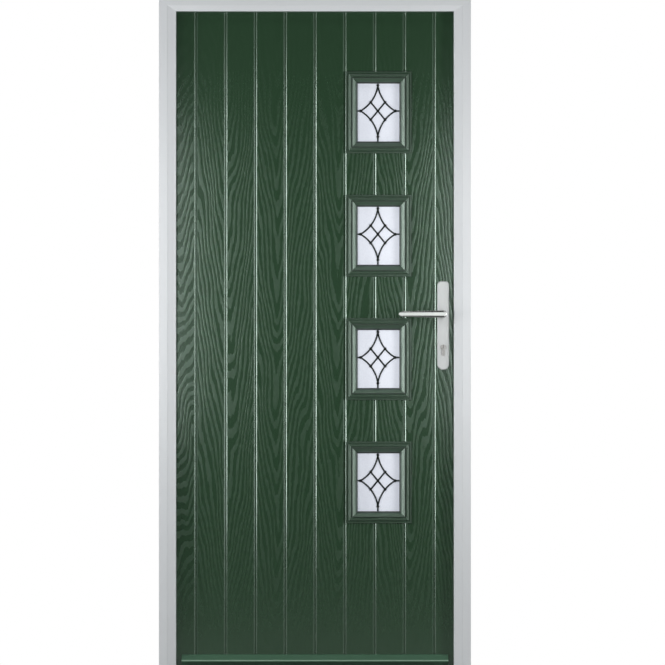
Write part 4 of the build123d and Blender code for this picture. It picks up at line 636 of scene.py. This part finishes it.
# Rain deflector
# Folded aluminium strip at the foot of the outside face, powder coated in a brighter green.
# It is screwed to the bottom rail and throws water clear of the threshold. A painted highlight runs pale along
# its lip.
# Its own screws are painted with it, and the leaf's other screws are plated.

DEFLECTOR = (0.041, 0.108, 0.062)
DEFLECTOR_LIP_HIGHLIGHT = (0.22, 0.33, 0.25)
DEFLECTOR_ROUGH = (0.3, 0.4)
LIP_LOW = 49.4
LIP_HIGH = 52.0
LIP_SOFT = 0.5
PAINTED_BELOW = 80.0
PLATED_ABOVE = 85.0

coat = Finish("powder_coat")
peel = coat.mottle(size=1.6)
# A pale line painted along the lip stands in for the highlight on its fold.
over = coat.step(coat.z, LIP_LOW - LIP_SOFT, LIP_LOW)
past = coat.step(coat.z, LIP_HIGH, LIP_HIGH + LIP_SOFT)
powder = coat.shades(peel, DEFLECTOR, low=0.94, high=1.06)
coat.feed(Base_Color=coat.mix(over * (1 - past), powder, DEFLECTOR_LIP_HIGHLIGHT))
coat.feed(Roughness=coat.between(peel, *DEFLECTOR_ROUGH))
coat.bump(peel, depth=0.03)
coat.on("rain_deflector")

screw = Finish("leaf_screw")
plated = screw.step(screw.z, PAINTED_BELOW, PLATED_ABOVE)
lines = screw.mottle(size=1.2, detail=3.0)
screw.feed(Base_Color=screw.mix(plated, DEFLECTOR, STEEL))
screw.feed(Metallic=plated)
screw.feed(Roughness=screw.between(lines, *STEEL_ROUGH))
screw.on("leaf_screws")

# Hinges
# Cast flags and plates with machined knuckles, coated white.
# They are screwed to the leaf and the frame on the inside, and turn on the steel pins.

hinge = Finish("white_coat", Roughness=0.36)
peel = hinge.mottle(size=1.6)
hinge.feed(Base_Color=hinge.shades(peel, PLASTIC, low=0.98, high=1.05))
hinge.bump(peel, depth=0.03)
hinge.on(*[f"hinge_{part}_{place}" for part in ("plate", "flag") for place in ("lower", "middle", "upper")])

# Key cylinder
# Machined brass with a satin nickel finish, pushed through the lock case and both handle plates.
# It is held by one long screw from the edge of the leaf, and a thumb turn sits on its inner end.

NICKEL = (0.46, 0.46, 0.45)
NICKEL_ROUGH = (0.22, 0.37)
TURNED_LINE = 0.7
TURNED_LENGTH = 5.0

nickel = Finish("satin_nickel", Metallic=1.0)
turned = nickel.noise(nickel.x / TURNED_LINE, nickel.z / TURNED_LINE, nickel.y / TURNED_LENGTH)
nickel.feed(Base_Color=nickel.shades(turned, NICKEL, low=0.9, high=1.05))
nickel.feed(Roughness=nickel.between(turned, *NICKEL_ROUGH))
nickel.on("cylinder_body", "key_plug", "cylinder_cam", "thumb_turn")

# Handle plates and levers
# Die-cast metal, ground and plated: the plates are satin, brushed along their length.
# The levers are satin along their middle, with a bright painted highlight there, and polished at their rounded
# edges, which show the dark room.

SATIN = (0.57, 0.59, 0.59)
SATIN_METAL = 0.6
SATIN_ROUGH = (0.40, 0.54)
POLISH = (0.62, 0.63, 0.63)
POLISH_ROUGH = (0.10, 0.16)
# The colour of the painted highlight along the lever's middle, and where that band lies.
HIGHLIGHT_PAINT = (0.70, 0.74, 0.715)
CORE_HALF = 4.7
CORE_SOFT = 0.8
CORE_END = 383.0
CORE_FADE = 2.0
CORE_METAL = 0.15
CORE_DULLED = 0.25

satin = Finish("satin_plate", Metallic=SATIN_METAL)
brush = satin.streaks(width=0.5, length=18.0, detail=3.0)
satin.feed(Base_Color=satin.shades(brush, SATIN, low=0.94, high=1.03))
satin.feed(Roughness=satin.between(brush, *SATIN_ROUGH))
satin.bump(brush, depth=0.006)
satin.on("handle_plate_outer", "handle_plate_inner")

polish = Finish("polished_lever")
swirl = polish.mottle(size=12.0, detail=3.0)
lever_low, lever_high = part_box("lever_outer")
height = abs(polish.z - (lever_low.z + lever_high.z) / 2 * MILLIMETRES)
rounded = polish.step(height, CORE_HALF - CORE_SOFT, CORE_HALF + CORE_SOFT)
root = polish.step(polish.x, CORE_END, CORE_END + CORE_FADE)
# The band along the lever's middle gets a painted highlight, and is rougher and less metallic.
core = (1 - rounded) * (1 - root)
bright = polish.shades(swirl, POLISH, low=0.96, high=1.0)
polish.feed(Base_Color=polish.mix(core, bright, HIGHLIGHT_PAINT))
polish.feed(Metallic=polish.between(core, 1, CORE_METAL))
polish.feed(Roughness=polish.between(swirl, *POLISH_ROUGH) + core * CORE_DULLED)
polish.on("lever_outer", "lever_inner")

# Floor
# A plain pale slab, matt and faintly specked, that the threshold stands on.
# It ends just behind the door, so that the picture stays white beside the door's foot.

FLOOR_HALF = 2.6
FLOOR_BACK = 0.33
FLOOR_THICKNESS = 0.02
FLOOR_COLOUR = (0.43, 0.43, 0.42)
SPECK = 40.0

ground = Finish("pale_floor", Roughness=0.7)
speck = ground.noise(ground.x / SPECK, ground.y / SPECK, 0.0, detail=3.0)
ground.feed(Base_Color=ground.shades(speck, FLOOR_COLOUR, low=0.98, high=1.01))
depth = FLOOR_HALF + FLOOR_BACK
slab = bmesh.new()
bmesh.ops.create_cube(slab, size=1.0)
bmesh.ops.scale(slab, vec=(2 * FLOOR_HALF, depth, FLOOR_THICKNESS), verts=slab.verts)
bmesh.ops.translate(slab, vec=(0, FLOOR_BACK - depth / 2, -FLOOR_THICKNESS / 2), verts=slab.verts)
piece_of(ground, "floor", slab, smooth=False)
